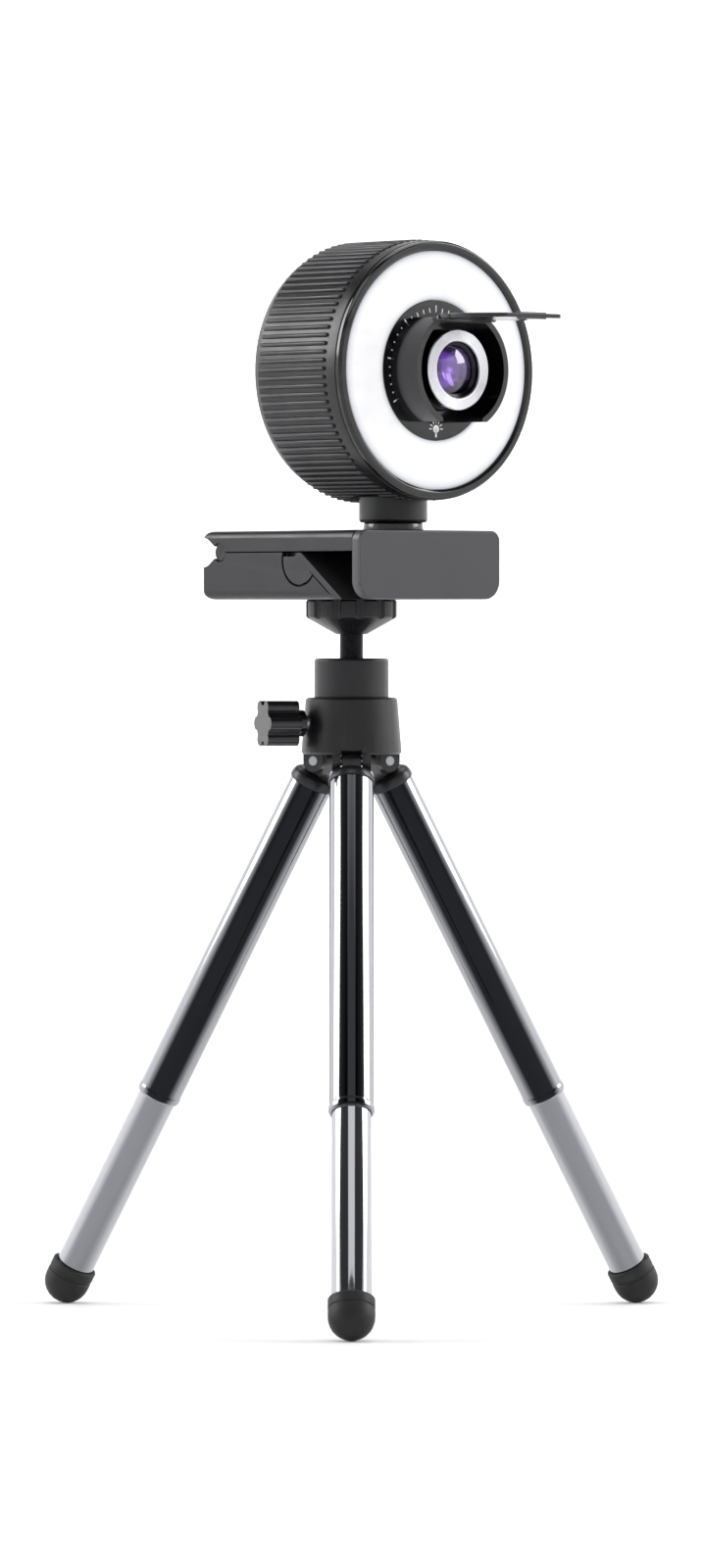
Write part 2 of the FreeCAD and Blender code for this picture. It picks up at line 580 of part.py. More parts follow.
def clip_top():
    """The clip's upper half: a shallow shell, its tall front plate, an underplate and a pad."""
    base = "seam_level + seam_half"
    back = "clip_front + plate_thickness"
    lid = pushed("lid", "YZ_Plane", [
        (back, base),
        (HINGE_Y, base),
        (RELIEF_Y, f"seam_level + {RELIEF_DROP}"),
        ("clip_rear", f"seam_level + {RELIEF_DROP}"),
        ("clip_rear", "clip_top_level"),
        (back, "clip_top_level"),
    ], "2 * clip_half")
    top = number("clip_top_level")
    side = number("clip_half")
    rear = number("clip_rear")
    rounded(lid, "2.2", lambda mid, along: abs(mid.z - top) < 0.01 and (
        abs(abs(mid.x) - side) < 0.01 or abs(mid.y - rear) < 0.01))
    inside = box("lid_inside", ("-clip_half + clip_wall", "clip_half - clip_wall"),
                 (f"{back} + 2", f"{HINGE_Y} - 4"), (f"{base} - 1", "clip_top_level - 2"))
    groove = rod("lid_groove", "X", "groove_radius", "-clip_half - 1", "clip_half + 1",
                 y="clip_rear", z="seam_level")
    room = rod("lid_hinge_room", "X", "knuckle_radius + knuckle_gap", "-clip_half - 1", "clip_half + 1",
               y=HINGE_Y, z="seam_level")
    neck_bore = rod("lid_neck_bore", "Z", "spindle_radius + 0.2", "clip_top_level - 3",
                    "clip_top_level + 1", y="clip_front + neck_setback")
    hollow = cut("lid_hollow", lid, inside, groove, room, neck_bore)
    lugs = []
    spans = (("middle", "-11.7", "11.7"), ("left", "-24.6", "-22.3"), ("right", "22.3", "24.6"))
    for tag, low, high in spans:
        lugs.append(rod(f"lid_knuckle_{tag}", "X", "knuckle_radius", low, high, y=HINGE_Y, z="seam_level"))
        lugs.append(box(f"lid_web_{tag}", (low, high),
                        (f"{HINGE_Y} - knuckle_radius", f"{HINGE_Y} + knuckle_radius * 0.7"),
                        ("seam_level", "seam_level + 3.4")))
    bore = rod("lid_pin_bore", "X", "hinge_pin_radius + 0.05", "-24.1", "24.1", y=HINGE_Y, z="seam_level")
    sub_part(cut("clip_top_shell", fuse("lid_solid", hollow, *lugs), bore), "clip_top_shell")

    plate = pushed("front_plate", "XZ_Plane", [
        ("-clip_half", "clip_level"),
        ("clip_half", "clip_level"),
        ("clip_half", "clip_top_level"),
        ("-clip_half", "clip_top_level"),
    ], "plate_thickness")
    place(plate, y="clip_front + plate_thickness / 2")
    middle = number("(clip_level + clip_top_level) / 2")
    rounded(plate, "5", lambda mid, along: mid.z < middle and abs(along.y) > 1)
    rounded(plate, "2.8", lambda mid, along: mid.z > middle and abs(along.y) > 1)
    front = -number("plate_thickness") / 2
    rounded(plate, "0.5", lambda mid, along: abs(mid.y - front) < 0.01)
    sub_part(plate, "front_plate")

    under = box("underplate_sheet", ("-clip_half + clip_wall + 0.1", "clip_half - clip_wall - 0.1"),
                (f"{back} + 2.1", f"{HINGE_Y} - 4.1"), (f"{base} + 0.1", f"{base} + 1.2"))
    gap = rod("underplate_hole", "Z", "8", base, f"{base} + 2", y="clip_front + neck_setback")
    rest = box("pad_seat", ("-20", "20"), (f"{back} + 2.6", f"{back} + 5.6"), (f"{base}", f"{base} + 0.7"))
    sub_part(cut("underplate", under, gap, rest), "underplate")
    sub_part(box("grip_pad", ("-19.9", "19.9"), (f"{back} + 2.7", f"{back} + 5.5"),
                 (f"{base} + 0.05", f"{base} + 0.7")), "grip_pad")


# ---------------------------------------------------------------- neck

def neck():
    """The swivel: a collar and post on the clip, held below by a washer and a screw."""
    seat = {"y": "clip_front + neck_setback"}
    foot = "clip_top_level + 0.05"
    shoulder = f"{foot} + neck_collar_height"
    sub_part(place(turned("neck_collar", "XZ_Plane", [
        ("spindle_radius + 0.05", foot),
        ("neck_collar_radius", foot),
        ("neck_collar_radius - 0.5", shoulder),
        ("spindle_radius + 0.05", shoulder),
    ]), **seat), "neck_collar")

    post = place(turned("neck_barrel", "XZ_Plane", [
        ("1.2", "clip_top_level - 2.5"),
        ("spindle_radius", "clip_top_level - 2.5"),
        ("spindle_radius", shoulder),
        ("neck_radius - 0.5", shoulder),
        ("neck_radius", f"{shoulder} + 0.5"),
        ("neck_radius", "neck_top_level - 0.8"),
        ("neck_radius - 0.8", "neck_top_level"),
        ("0", "neck_top_level"),
        ("0", "clip_top_level + 4"),
        ("1.2", "clip_top_level + 4"),
    ]), **seat)
    half = ("-tongue_half", "tongue_half")
    middle = dict(y="clip_front + neck_setback", z="tilt_level")
    tongue = box("tongue", half, ("clip_front + neck_setback - tongue_radius",
                                  "clip_front + neck_setback + tongue_radius"),
                 ("neck_top_level - 1", "tilt_level"))
    eye = rod("tongue_eye", "X", "tongue_radius", *half, **middle)
    hole = rod("tongue_hole", "X", "tilt_pin_radius + 0.05", *half, **middle)
    sub_part(cut("neck_post", fuse("neck_solid", post, tongue, eye), hole), "neck_post")

    washer_top = "clip_top_level - 2.1"
    washer = rod("washer_disc", "Z", "7", f"{washer_top} - 0.7", washer_top, **seat)
    washer_hole = rod(
        "washer_hole", "Z", "spindle_radius + 0.05", f"{washer_top} - 1", "clip_top_level", **seat)
    sub_part(cut("neck_washer", washer, washer_hole), "neck_washer")
    head = rod("neck_screw_head", "Z", "5", "clip_top_level - 4.2", "clip_top_level - 2.85", **seat)
    shank = rod("neck_screw_shank", "Z", "1.2", "clip_top_level - 3", "clip_top_level + 3.8", **seat)
    sub_part(fuse("neck_screw", head, shank), "neck_screw")


# ---------------------------------------------------------------- head

HEAD_Y = "(clip_front + neck_setback)"


def at_head(thing):
    """Moves a piece drawn about the drum's centre to where the drum is."""
    return place(thing, y=HEAD_Y, z="drum_level")


def head_turned(label, points):
    """A round piece of the head: each point is a radius and a distance behind the drum's middle."""
    return sub_part(at_head(turned(label, "XY_Plane", points)), label)


def head_rod(name, radius, low, high, x="0", z="0"):
    """A cylinder along the drum's axis."""
    return rod(name, "Y", radius, f"{HEAD_Y} + {low}", f"{HEAD_Y} + {high}", x=x, z=f"drum_level + {z}")


def ribbed_shell():
    """The drum: a plain front band, then ribs along it all round, and a slot for the neck."""
    rim = "drum_radius - rib_radius"
    front = "-drum_half + bezel_depth + 0.1"
    shell = turned("drum_ring", "XY_Plane", [
        (f"{rim} - shell_wall", front),
        (f"{rim} + 0.2", front),
        (f"{rim} + 0.2", "-drum_half + band_width"),
        (rim, "-drum_half + band_width + 0.3"),
        (rim, "drum_half - 2.2"),
        (f"{rim} - 0.6", "drum_half - 0.6"),
        (f"{rim} - 1.4", "drum_half"),
        (f"{rim} - shell_wall", "drum_half"),
    ])
    rib = sketch_on(shell, "XZ_Plane", "rib_section")
    rib.addGeometry(Part.Circle(FreeCAD.Vector(0, number(rim), 0), Z_AXIS, number("rib_radius")))
    rib.addConstraint(Sketcher.Constraint("PointOnObject", 0, 3, -2))
    index = rib.addConstraint(Sketcher.Constraint("DistanceY", -1, 1, 0, 3, number(rim)))
    rib.setExpression(f"Constraints[{index}]", bound(rim))
    index = rib.addConstraint(Sketcher.Constraint("Radius", 0, number("rib_radius")))
    rib.setExpression(f"Constraints[{index}]", bound("rib_radius"))
    pad = shell.newObject("PartDesign::Pad", "rib")
    pad.Profile = rib
    pad.SideType = "Two sides"
    bind(pad, Length="drum_half - band_width - 0.8", Length2="drum_half - 2.6")
    doc.recompute()
    pattern = shell.newObject("PartDesign::PolarPattern", "ribs")
    pattern.Originals = [pad]
    pattern.Axis = (rib, ["N_Axis"])
    pattern.Angle = 360
    bind(pattern, Occurrences="rib_count")
    shell.Tip = pattern
    at_head(shell)
    reach = "(slot_half_length - slot_half_width)"
    low, high = "drum_level - drum_radius - 1", "drum_level - drum_radius + 6"
    slot = [
        rod("slot_front", "Z", "slot_half_width", low, high, y=f"{HEAD_Y} - {reach}"),
        rod("slot_rear", "Z", "slot_half_width", low, high, y=f"{HEAD_Y} + {reach}"),
        box("slot_middle", ("-slot_half_width", "slot_half_width"),
            (f"{HEAD_Y} - {reach}", f"{HEAD_Y} + {reach}"), (low, high)),
    ]
    sub_part(cut("ribbed_shell", shell, *slot), "ribbed_shell")


def face():
    """The front: a glossy bezel, the ring light's diffuser and the dark centre panel."""
    outer = "drum_radius - rib_radius + 0.1"
    head_turned("front_bezel", [
        ("bezel_bore", "-drum_half + 0.5"),
        ("bezel_bore + 0.5", "-drum_half"),
        (f"{outer} - 0.7", "-drum_half"),
        (outer, "-drum_half + 0.7"),
        (outer, "-drum_half + bezel_depth"),
        ("bezel_bore", "-drum_half + bezel_depth"),
    ])
    head_turned("light_diffuser", [
        ("panel_radius + 0.1", "-drum_half + face_recess"),
        ("bezel_bore - 0.1", "-drum_half + face_recess"),
        ("bezel_bore - 0.1", "-drum_half + face_recess + 1.8"),
        ("panel_radius + 0.1", "-drum_half + face_recess + 1.8"),
    ])
    head_turned("centre_panel", [
        ("barrel_radius + 0.3", "-drum_half + face_recess"),
        ("panel_radius", "-drum_half + face_recess"),
        ("panel_radius", "-drum_half + face_recess + 1.5"),
        ("barrel_radius + 0.3", "-drum_half + face_recess + 1.5"),
    ])


def light_engine():
    """The ring board behind the diffuser, its LEDs and the two microphones."""
    head_turned("led_board", [
        ("panel_radius - 1", "-drum_half + 5.4"),
        ("bezel_bore - 0.6", "-drum_half + 5.4"),
        ("bezel_bore - 0.6", "-drum_half + 7"),
        ("panel_radius - 1", "-drum_half + 7"),
    ])
    centre = FreeCAD.Vector(0, number(f"{HEAD_Y} - drum_half + 5.4"), number("drum_level"))
    ring = number("(panel_radius + bezel_bore) / 2")

    def chip(width, depth, height, angle):
        solid = Part.makeBox(width, depth, height, FreeCAD.Vector(-width / 2, -depth, ring - height / 2))
        solid.Placement = FreeCAD.Placement(centre, FreeCAD.Rotation(Y_AXIS, angle))
        return solid

    compound("leds", [chip(3.5, 0.9, 2.8, 15 * step) for step in range(24)])
    compound("microphones", [chip(2.6, 0.8, 1.8, 172.5 + 15 * step) for step in range(2)])


def lens():
    """The lens: a fixed barrel, a focus ring with a bright trim, glass, holder and sensor."""
    face_at = "-drum_half + face_recess"
    tip = f"{face_at} - lens_reach"
    head_turned("lens_barrel", [
        ("barrel_radius - 1.6", f"{face_at} - 4.6"),
        ("barrel_radius - 0.3", f"{face_at} - 4.6"),
        ("barrel_radius", f"{face_at} - 4.3"),
        ("barrel_radius", f"{face_at} + 6"),
        ("lens_radius + 1.4", f"{face_at} + 6"),
        ("lens_radius + 1.4", f"{face_at} + 1"),
        ("barrel_radius - 1.6", f"{face_at} + 1"),
    ])
    head_turned("focus_ring", [
        ("lens_radius + 0.15", f"{face_at} - 2.4"),
        ("barrel_radius - 1.75", f"{face_at} - 2.4"),
        ("barrel_radius - 1.75", f"{face_at} - 4.8"),
        ("barrel_radius", f"{face_at} - 4.8"),
        ("barrel_radius", f"{tip} + 0.7"),
        ("lens_radius + 1.1", f"{tip} + 0.7"),
        ("lens_radius + 1.1", f"{tip} + 1.2"),
        ("lens_radius + 0.15", f"{tip} + 2"),
    ])
    head_turned("lens_trim", [
        ("lens_radius + 1.1", f"{tip} + 0.2"),
        ("lens_radius + 1.4", tip),
        ("barrel_radius - 0.1", tip),
        ("barrel_radius + 0.15", f"{tip} + 0.25"),
        ("barrel_radius + 0.15", f"{tip} + 0.7"),
        ("lens_radius + 1.1", f"{tip} + 0.7"),
    ])
    head_turned("front_lens", [
        ("0", f"{tip} + 1.1"),
        ("lens_radius * 0.35", f"{tip} + 1.2"),
        ("lens_radius * 0.7", f"{tip} + 1.6"),
        ("lens_radius", f"{tip} + 2.3"),
        ("lens_radius", f"{tip} + 5.5"),
        ("0", f"{tip} + 5.5"),
    ])
    head_turned("lens_holder", [
        ("lens_radius - 1.6", f"{face_at} + 1.2"),
        ("lens_radius + 1.3", f"{face_at} + 1.2"),
        ("lens_radius + 1.3", "-4"),
        ("lens_radius - 1.6", "-4"),
    ])
    sub_part(box("image_sensor", ("-3.5", "3.5"), (f"{HEAD_Y} - 5", f"{HEAD_Y} - 4"),
                 ("drum_level - 3", "drum_level + 3")), "image_sensor")
    sub_part(box("main_board", ("-19", "19"), (f"{HEAD_Y} - 4", f"{HEAD_Y} - 2.4"),
                 ("drum_level - 15", "drum_level + 15")), "main_board")


def rear():
    """The back: a dished cover with three screws and a grommet where the cable leaves."""
    edge = "drum_radius - rib_radius - shell_wall - 0.1"
    disc = at_head(turned("rear_disc", "XY_Plane", [
        ("0", "drum_half - 2.6"),
        (edge, "drum_half - 2.6"),
        (edge, "drum_half - 0.8"),
        (f"{edge} - 0.8", "drum_half - 0.2"),
        (f"{edge} - 6", "drum_half"),
        ("0", "drum_half"),
    ]))
    outlet = head_rod(
        "cable_outlet", "grommet_bore + 2", "drum_half - 3", "drum_half + 1", z="0 - grommet_drop")
    bores = []
    screws = []
    ring = number(edge) - 4.5
    for step, angle in enumerate((90, 210, 330)):
        x = ring * math.cos(math.radians(angle))
        z = ring * math.sin(math.radians(angle))
        spot = {"x": f"{x:.4f}", "z": f"{z:.4f}"}
        bores.append(head_rod(f"rear_bore_{step}", "1.9", "drum_half - 1", "drum_half + 1", **spot))
        centre = FreeCAD.Vector(x, number(f"{HEAD_Y} + drum_half - 1"), number("drum_level") + z)
        head = Part.makeCylinder(1.8, 0.8, centre, Y_AXIS)
        shank = Part.makeCylinder(0.9, 1.6, centre - Y_AXIS * 1.6, Y_AXIS)
        screws.append(head.fuse(shank))
        spot = {"x": f"{x:.4f}", "z": f"{z:.4f}"}
        bores.append(head_rod(f"rear_pilot_{step}", "0.9", "drum_half - 3", "drum_half", **spot))
    sub_part(cut("rear_cover", disc, outlet, *bores), "rear_cover")
    compound("rear_screws", screws)
    grommet = place(turned("cable_grommet", "XY_Plane", [
        ("0", "drum_half - 5"),
        ("grommet_bore + 2", "drum_half - 5"),
        ("grommet_bore + 2", "drum_half"),
        ("grommet_bore", "drum_half"),
        ("grommet_bore", "drum_half - 4"),
        ("0", "drum_half - 4"),
    ]), y=HEAD_Y, z="drum_level - grommet_drop")
    sub_part(grommet, "cable_grommet")


def tilt_mount():
    """The bracket inside the drum and the pin that the head nods about."""
    chord = "sqrt((drum_radius - rib_radius - shell_wall) ^ 2 - (drum_level - tilt_level - 6) ^ 2) - 0.3"
    plate = box("bracket_plate", (f"-({chord})", chord), (f"{HEAD_Y} - 6", f"{HEAD_Y} + 6"),
                ("tilt_level + 6", "tilt_level + 7.5"))
    pieces = [plate]
    for tag, low, high in (("left", "-tongue_half - 2.1", "-tongue_half - 0.3"),
                           ("right", "tongue_half + 0.3", "tongue_half + 2.1")):
        pieces.append(box(f"bracket_ear_{tag}", (low, high), (f"{HEAD_Y} - 3.6", f"{HEAD_Y} + 3.6"),
                          ("tilt_level", "tilt_level + 6.5")))
        pieces.append(rod(f"bracket_eye_{tag}", "X", "3.6", low, high, y=HEAD_Y, z="tilt_level"))
    bore = rod("bracket_bore", "X", "tilt_pin_radius", "-8", "8", y=HEAD_Y, z="tilt_level")
    sub_part(cut("tilt_bracket", fuse("bracket_solid", *pieces), bore), "tilt_bracket")
    sub_part(rod("tilt_pin", "X", "tilt_pin_radius", "-tongue_half - 2.8", "tongue_half + 2.8",
                 y=HEAD_Y, z="tilt_level"), "tilt_pin")


def privacy_cover():
    """The shroud round the lens and the flap that closes it, standing open."""
    face_at = f"{HEAD_Y} - drum_half + face_recess"
    front = f"{face_at} - frame_depth"
    axis = dict(y=f"{front} - 1.3", z="drum_level + frame_half - 0.2")
    disc = rod("frame_disc", "Y", "frame_radius", front, f"{face_at} - 0.05", z="drum_level")
    flats = box("frame_flats", ("-20", "20"), (f"{front} - 1", face_at),
                ("drum_level - frame_half", "drum_level + frame_half"))
    reach = (f"{front} - 1", f"{face_at} - 1.3")
    inside = rod("frame_inside", "Y", "frame_radius - frame_wall", *reach, z="drum_level")
    top = box("frame_top_keep", ("-20", "20"), (f"{front} - 2", face_at),
              ("drum_level + frame_half - 1.4", "drum_level + frame_half + 2"))
    barrel = rod("frame_barrel", "Y", "barrel_radius + 0.3", f"{front} - 1", face_at, z="drum_level")
    below = box("frame_below", ("-7", "7"), (f"{front} - 1", f"{face_at} - 1.3"),
                ("drum_level - frame_half - 1", "drum_level - frame_half + 4"))
    cup = cut("frame_cup", common("frame_block", disc, flats), cut("frame_room", inside, top), barrel, below)
    lugs = []
    for tag, low, high in (("left", "-10", "-8"), ("right", "8", "10")):
        lugs.append(rod(f"frame_lug_{tag}", "X", "0.95", low, high, **axis))
        lugs.append(box(f"frame_arm_{tag}", (low, high), (f"{front} - 1.3", f"{front} + 1"),
                        ("drum_level + frame_half - 1.15", "drum_level + frame_half - 0.2")))
    bore = rod("frame_pin_bore", "X", "0.5", "-10.5", "10.5", **axis)
    sub_part(cut("shutter_frame", fuse("frame_solid", cup, *lugs), bore), "shutter_frame")

    hinge_y = f"({front} - 1.3)"
    hinge_z = "(drum_level + frame_half - 0.2)"
    round_plate = rod("flap_round", "Z", "frame_radius", f"{hinge_z} - shutter_thickness / 2",
                      f"{hinge_z} + shutter_thickness / 2", y=f"{hinge_y} - flap_reach / 2")
    strip = box("flap_strip", ("-20", "20"), (f"{hinge_y} - flap_reach", hinge_y),
                (f"{hinge_z} - 1", f"{hinge_z} + 1"))
    hinge = rod("flap_hinge", "X", "0.95", "-7.8", "7.8", **axis)
    rooms = [
        box(f"flap_notch_{tag}", (low, high), (f"{hinge_y} - 1.6", f"{hinge_y} + 2"),
            (f"{hinge_z} - 2", f"{hinge_z} + 2"))
        for tag, low, high in (("left", "-20", "-7.8"), ("right", "7.8", "20"))
    ]
    bore = rod("flap_pin_bore", "X", "0.55", "-8", "8", **axis)
    plate = common("flap_plate_round", round_plate, strip)
    sub_part(cut("shutter_flap", fuse("shutter_solid", cut("flap_notched", plate, *rooms), hinge), bore),
             "shutter_flap")
    sub_part(rod("shutter_pin", "X", "0.5", "-10", "10", **axis), "shutter_pin")


# ---------------------------------------------------------------- build, check, write

hub()
collar()
ball_head()
lock()
leg_pins()
for which in range(3):
    leg(which)
clip_leg()
foot_flap()
clip_top()
neck()
ribbed_shell()
face()
light_engine()
lens()
rear()
tilt_mount()
privacy_cover()
doc.recompute()

for thing in doc.Objects:
    if {"Invalid", "Error"} & set(thing.State):
        raise RuntimeError(f"{thing.Label} failed: {thing.State}")
for piece in sub_parts:
    if piece.Shape.isNull() or not piece.Shape.isValid():
        raise RuntimeError(f"{piece.Label} has no valid shape")

os.makedirs("parts", exist_ok=True)
for piece in sub_parts:
    piece.Shape.exportStep(f"parts/{piece.Label}.step")
    print(f"{piece.Label}: {len(piece.Shape.Solids)} solid(s), {piece.Shape.Volume:.0f} mm3")
print(len(sub_parts), "sub-parts")
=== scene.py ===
# %% [markdown]
# # A ring-light webcam on a mini tripod
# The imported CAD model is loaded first, as a frame that never moves. Every piece below is
# built in that same frame, in metres, so it lands where the real part belongs. Sizes are
# written in millimetres and turned into metres in one place.

# %% Load the frame
import bpy
import json
import math
from mathutils import Matrix, Vector


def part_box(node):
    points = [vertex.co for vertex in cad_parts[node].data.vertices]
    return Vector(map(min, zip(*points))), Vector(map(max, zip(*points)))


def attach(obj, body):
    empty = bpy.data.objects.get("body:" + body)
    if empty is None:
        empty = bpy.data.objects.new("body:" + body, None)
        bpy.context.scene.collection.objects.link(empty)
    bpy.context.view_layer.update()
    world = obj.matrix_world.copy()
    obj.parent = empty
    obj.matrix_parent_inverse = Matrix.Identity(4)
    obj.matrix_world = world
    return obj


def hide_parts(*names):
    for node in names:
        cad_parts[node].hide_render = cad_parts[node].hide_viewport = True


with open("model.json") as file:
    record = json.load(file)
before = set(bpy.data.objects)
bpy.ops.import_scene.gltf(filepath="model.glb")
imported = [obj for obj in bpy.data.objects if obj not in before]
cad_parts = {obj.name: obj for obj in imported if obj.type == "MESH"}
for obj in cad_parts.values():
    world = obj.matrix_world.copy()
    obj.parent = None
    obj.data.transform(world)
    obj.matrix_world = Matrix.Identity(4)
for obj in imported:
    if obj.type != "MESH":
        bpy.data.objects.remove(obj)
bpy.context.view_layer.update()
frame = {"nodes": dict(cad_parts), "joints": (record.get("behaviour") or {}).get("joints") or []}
nodes = frame["nodes"]
joints = {joint["name"]: joint for joint in frame["joints"]}
MM = 0.001

# %% [markdown]
# ## Places that the pieces share
# The drum's middle, the front of the face and the legs' pins all come from the frame. A
# leg hangs along its slide joint's axis, so that axis is all a leg needs to be put in place.

# %% Measure the frame
def low_high(node):
    """The lowest and highest corner of a CAD node, in mm."""
    return tuple(Vector(corner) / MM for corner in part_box(node))


bezel_low, bezel_high = low_high("front_bezel")
DRUM_RADIUS = 35.0
DRUM_Z = (bezel_low.z + bezel_high.z) / 2
DRUM_FRONT = bezel_low.y
DRUM_REAR = low_high("ribbed_shell")[1].y
FACE = low_high("light_diffuser")[0].y
DRUM_DEPTH = DRUM_REAR - DRUM_FRONT
NECK_Y = joints["neck_pan"]["pos_m"][1] / MM
print(f"drum middle {DRUM_Z:.1f} mm up, face at y {FACE:.1f} mm, drum {DRUM_DEPTH:.1f} mm deep")

# %% [markdown]
# ## Colours and a node helper
# Colours are picked as the sRGB hex values that a screen shows, and a shader works in linear
# light, so one function turns them over. One more function adds a shader node, sets it and
# wires it, which keeps each material down to a few readable lines.

# %% Colour and node helpers
def linear(hex_colour):
    """An sRGB hex colour as the linear red, green, blue and alpha that shaders use."""
    channels = [int(hex_colour[i:i + 2], 16) / 255 for i in (1, 3, 5)]
    lit = [c / 12.92 if c <= 0.04045 else ((c + 0.055) / 1.055) ** 2.4 for c in channels]
    return (*lit, 1.0)


def add(tree, kind, inputs=None, **settings):
    """Adds a shader node, sets it, and links or fills its inputs."""
    made = tree.nodes.new(kind)
    for key, value in settings.items():
        setattr(made, key, value)
    for key, value in (inputs or {}).items():
        if isinstance(value, bpy.types.NodeSocket):
            tree.links.new(value, made.inputs[key])
        else:
            made.inputs[key].default_value = value
    return made


def blank(name):
    """A new material with an empty node tree, its shader and its object coordinates."""
    material = bpy.data.materials.new(name)
    material.use_nodes = True
    tree = material.node_tree
    tree.nodes.clear()
    shader = add(tree, "ShaderNodeBsdfPrincipled")
    add(tree, "ShaderNodeOutputMaterial", {"Surface": shader.outputs[0]})
    place = add(tree, "ShaderNodeTexCoord").outputs["Object"]
    return material, tree, shader, place


def noise(tree, place, size_mm, detail=3.0):
    """Noise whose lumps are about size_mm across on the real object."""
    return add(tree, "ShaderNodeTexNoise",
               {"Vector": place, "Scale": 1 / (size_mm * MM), "Detail": detail}).outputs["Fac"]


def spread(tree, value, low, high):
    """Maps the middle of a noise onto the range low to high."""
    return add(tree, "ShaderNodeMapRange",
               {"Value": value, "From Min": 0.3, "From Max": 0.7, "To Min": low, "To Max": high}
               ).outputs["Result"]


def mixed(tree, share, first, second):
    """A colour between two colours."""
    mix = add(tree, "ShaderNodeMix", data_type="RGBA")
    for socket, value in ((mix.inputs[0], share), (mix.inputs[6], first), (mix.inputs[7], second)):
        if isinstance(value, bpy.types.NodeSocket):
            tree.links.new(value, socket)
        else:
            socket.default_value = value
    return mix.outputs[2]


def banded(tree, value, stops):
    """A colour that follows a value from 0 to 1 through (place, hex colour) stops."""
    ramp = add(tree, "ShaderNodeValToRGB", {0: value})
    while len(ramp.color_ramp.elements) < len(stops):
        ramp.color_ramp.elements.new(0.5)
    for element, (where, colour) in zip(ramp.color_ramp.elements, stops):
        element.position = where
        element.color = linear(colour)
    return ramp.outputs[0]


def bump(tree, shader, height, depth_mm):
    """Raises the surface by a height pattern, depth_mm deep."""
    made = add(tree, "ShaderNodeBump", {"Height": height, "Distance": depth_mm * MM})
    tree.links.new(made.outputs[0], shader.inputs["Normal"])


def worn_edges(tree, low=0.51, high=0.56):
    """Nearly 0 on flat faces and rising to 1 on sharp outer edges, where handling rubs."""
    point = add(tree, "ShaderNodeNewGeometry").outputs["Pointiness"]
    return add(tree, "ShaderNodeMapRange",
               {"Value": point, "From Min": low, "From Max": high}).outputs["Result"]

# %% [markdown]
# ## Plastics
# Moulded ABS has a fine spark-eroded grain and goes a little paler where hands rub its edges. The glossy
# parts are the same plastic from a polished mould, so they show only a faint waviness. The front plate is
# painted a dark satin grey.

# %% Plastic materials
def plastic(name, hex_colour, rough, grain_mm, grain_depth, edge_hex):
    """A moulded plastic with a mould grain, uneven gloss and rubbed edges."""
    material, tree, shader, place = blank(name)
    smears = noise(tree, place, 9.0)
    rub = worn_edges(tree)
    share = add(tree, "ShaderNodeMath", {0: rub, 1: 0.45}, operation="MULTIPLY").outputs[0]
    colour = mixed(tree, share, linear(hex_colour), linear(edge_hex))
    tree.links.new(colour, shader.inputs["Base Color"])
    tree.links.new(spread(tree, smears, rough - 0.05, rough + 0.06), shader.inputs["Roughness"])
    shader.inputs["IOR"].default_value = 1.53
    shader.inputs["Specular IOR Level"].default_value = 0.5 if rough < 0.2 else 0.36
    bump(tree, shader, noise(tree, place, grain_mm, 2.0), grain_depth)
    return material


# ABS from a spark-eroded mould: the drum, clip, hub and collar.
black_abs = plastic("black_abs", "#111113", 0.33, 0.22, 0.005, "#2c2c30")
# The same ABS from a polished mould: bezel, knob, privacy cover and neck ring.
gloss_black = plastic("gloss_black_abs", "#08080a", 0.13, 2.5, 0.004, "#2a2a2e")
# Dark grey satin paint over ABS: the clip's front plate.
grey_paint = plastic("grey_satin_paint", "#3c3c40", 0.36, 0.12, 0.003, "#75757b")
# Natural rubber with a dull skin: feet, grommet and pads.
rubber = plastic("black_rubber", "#0b0b0c", 0.55, 0.35, 0.012, "#2a2a2b")
# Soft coated plastic with a leather-like grain: the foot flap.
grain_coat = plastic("grained_coating", "#19191b", 0.5, 0.45, 0.03, "#2e2e31")
print("plastics made")

# %% [markdown]
# ## Metals
# The tripod's tubes are drawn steel with bright chrome: very smooth, with faint lines left
# along the tube by the drawing die and a few dull finger marks. The lens trim is turned
# aluminium, whose cutter leaves rings round its axis. Metals keep the shader's own IOR.

# %% Metal materials
def metal(name, hex_colour, rough, smear_mm=7.0):
    """A bare metal whose roughness drifts a little, as wiped metal does."""
    material, tree, shader, place = blank(name)
    shader.inputs["Base Color"].default_value = linear(hex_colour)
    shader.inputs["Metallic"].default_value = 1.0
    smears = noise(tree, place, smear_mm)
    tree.links.new(spread(tree, smears, rough * 0.7, rough * 1.5), shader.inputs["Roughness"])
    return material, tree, shader, place


def drawn_metal(name, hex_colour, rough, axis, line_mm, depth_mm, painted_rim_sheen_hex=None):
    """A metal with fine lines along one direction. A last colour, when given, is painted in at grazing
    angles: a paler painted reflection along the edges.
    """
    material, tree, shader, place = metal(name, hex_colour, rough)
    if painted_rim_sheen_hex:
        # Painted reflection: the colour turns to the paler rim colour where the surface turns away from
        # view.
        facing = add(tree, "ShaderNodeLayerWeight", {"Blend": 0.5}).outputs["Facing"]
        share = add(tree, "ShaderNodeMapRange", {"Value": facing, "From Min": 0.14, "From Max": 0.36}
                    ).outputs["Result"]
        colour = mixed(tree, share, linear(hex_colour), linear(painted_rim_sheen_hex))
        tree.links.new(colour, shader.inputs["Base Color"])
    turn = Vector((0, 0, 1)).rotation_difference(Vector(axis)).inverted().to_euler()
    along = add(tree, "ShaderNodeMapping", {"Vector": place, "Rotation": turn}).outputs[0]
    squeezed = add(tree, "ShaderNodeMapping", {"Vector": along, "Scale": (1, 1, 0.01)}).outputs[0]
    bump(tree, shader, noise(tree, squeezed, line_mm, 2.0), depth_mm)
    return material


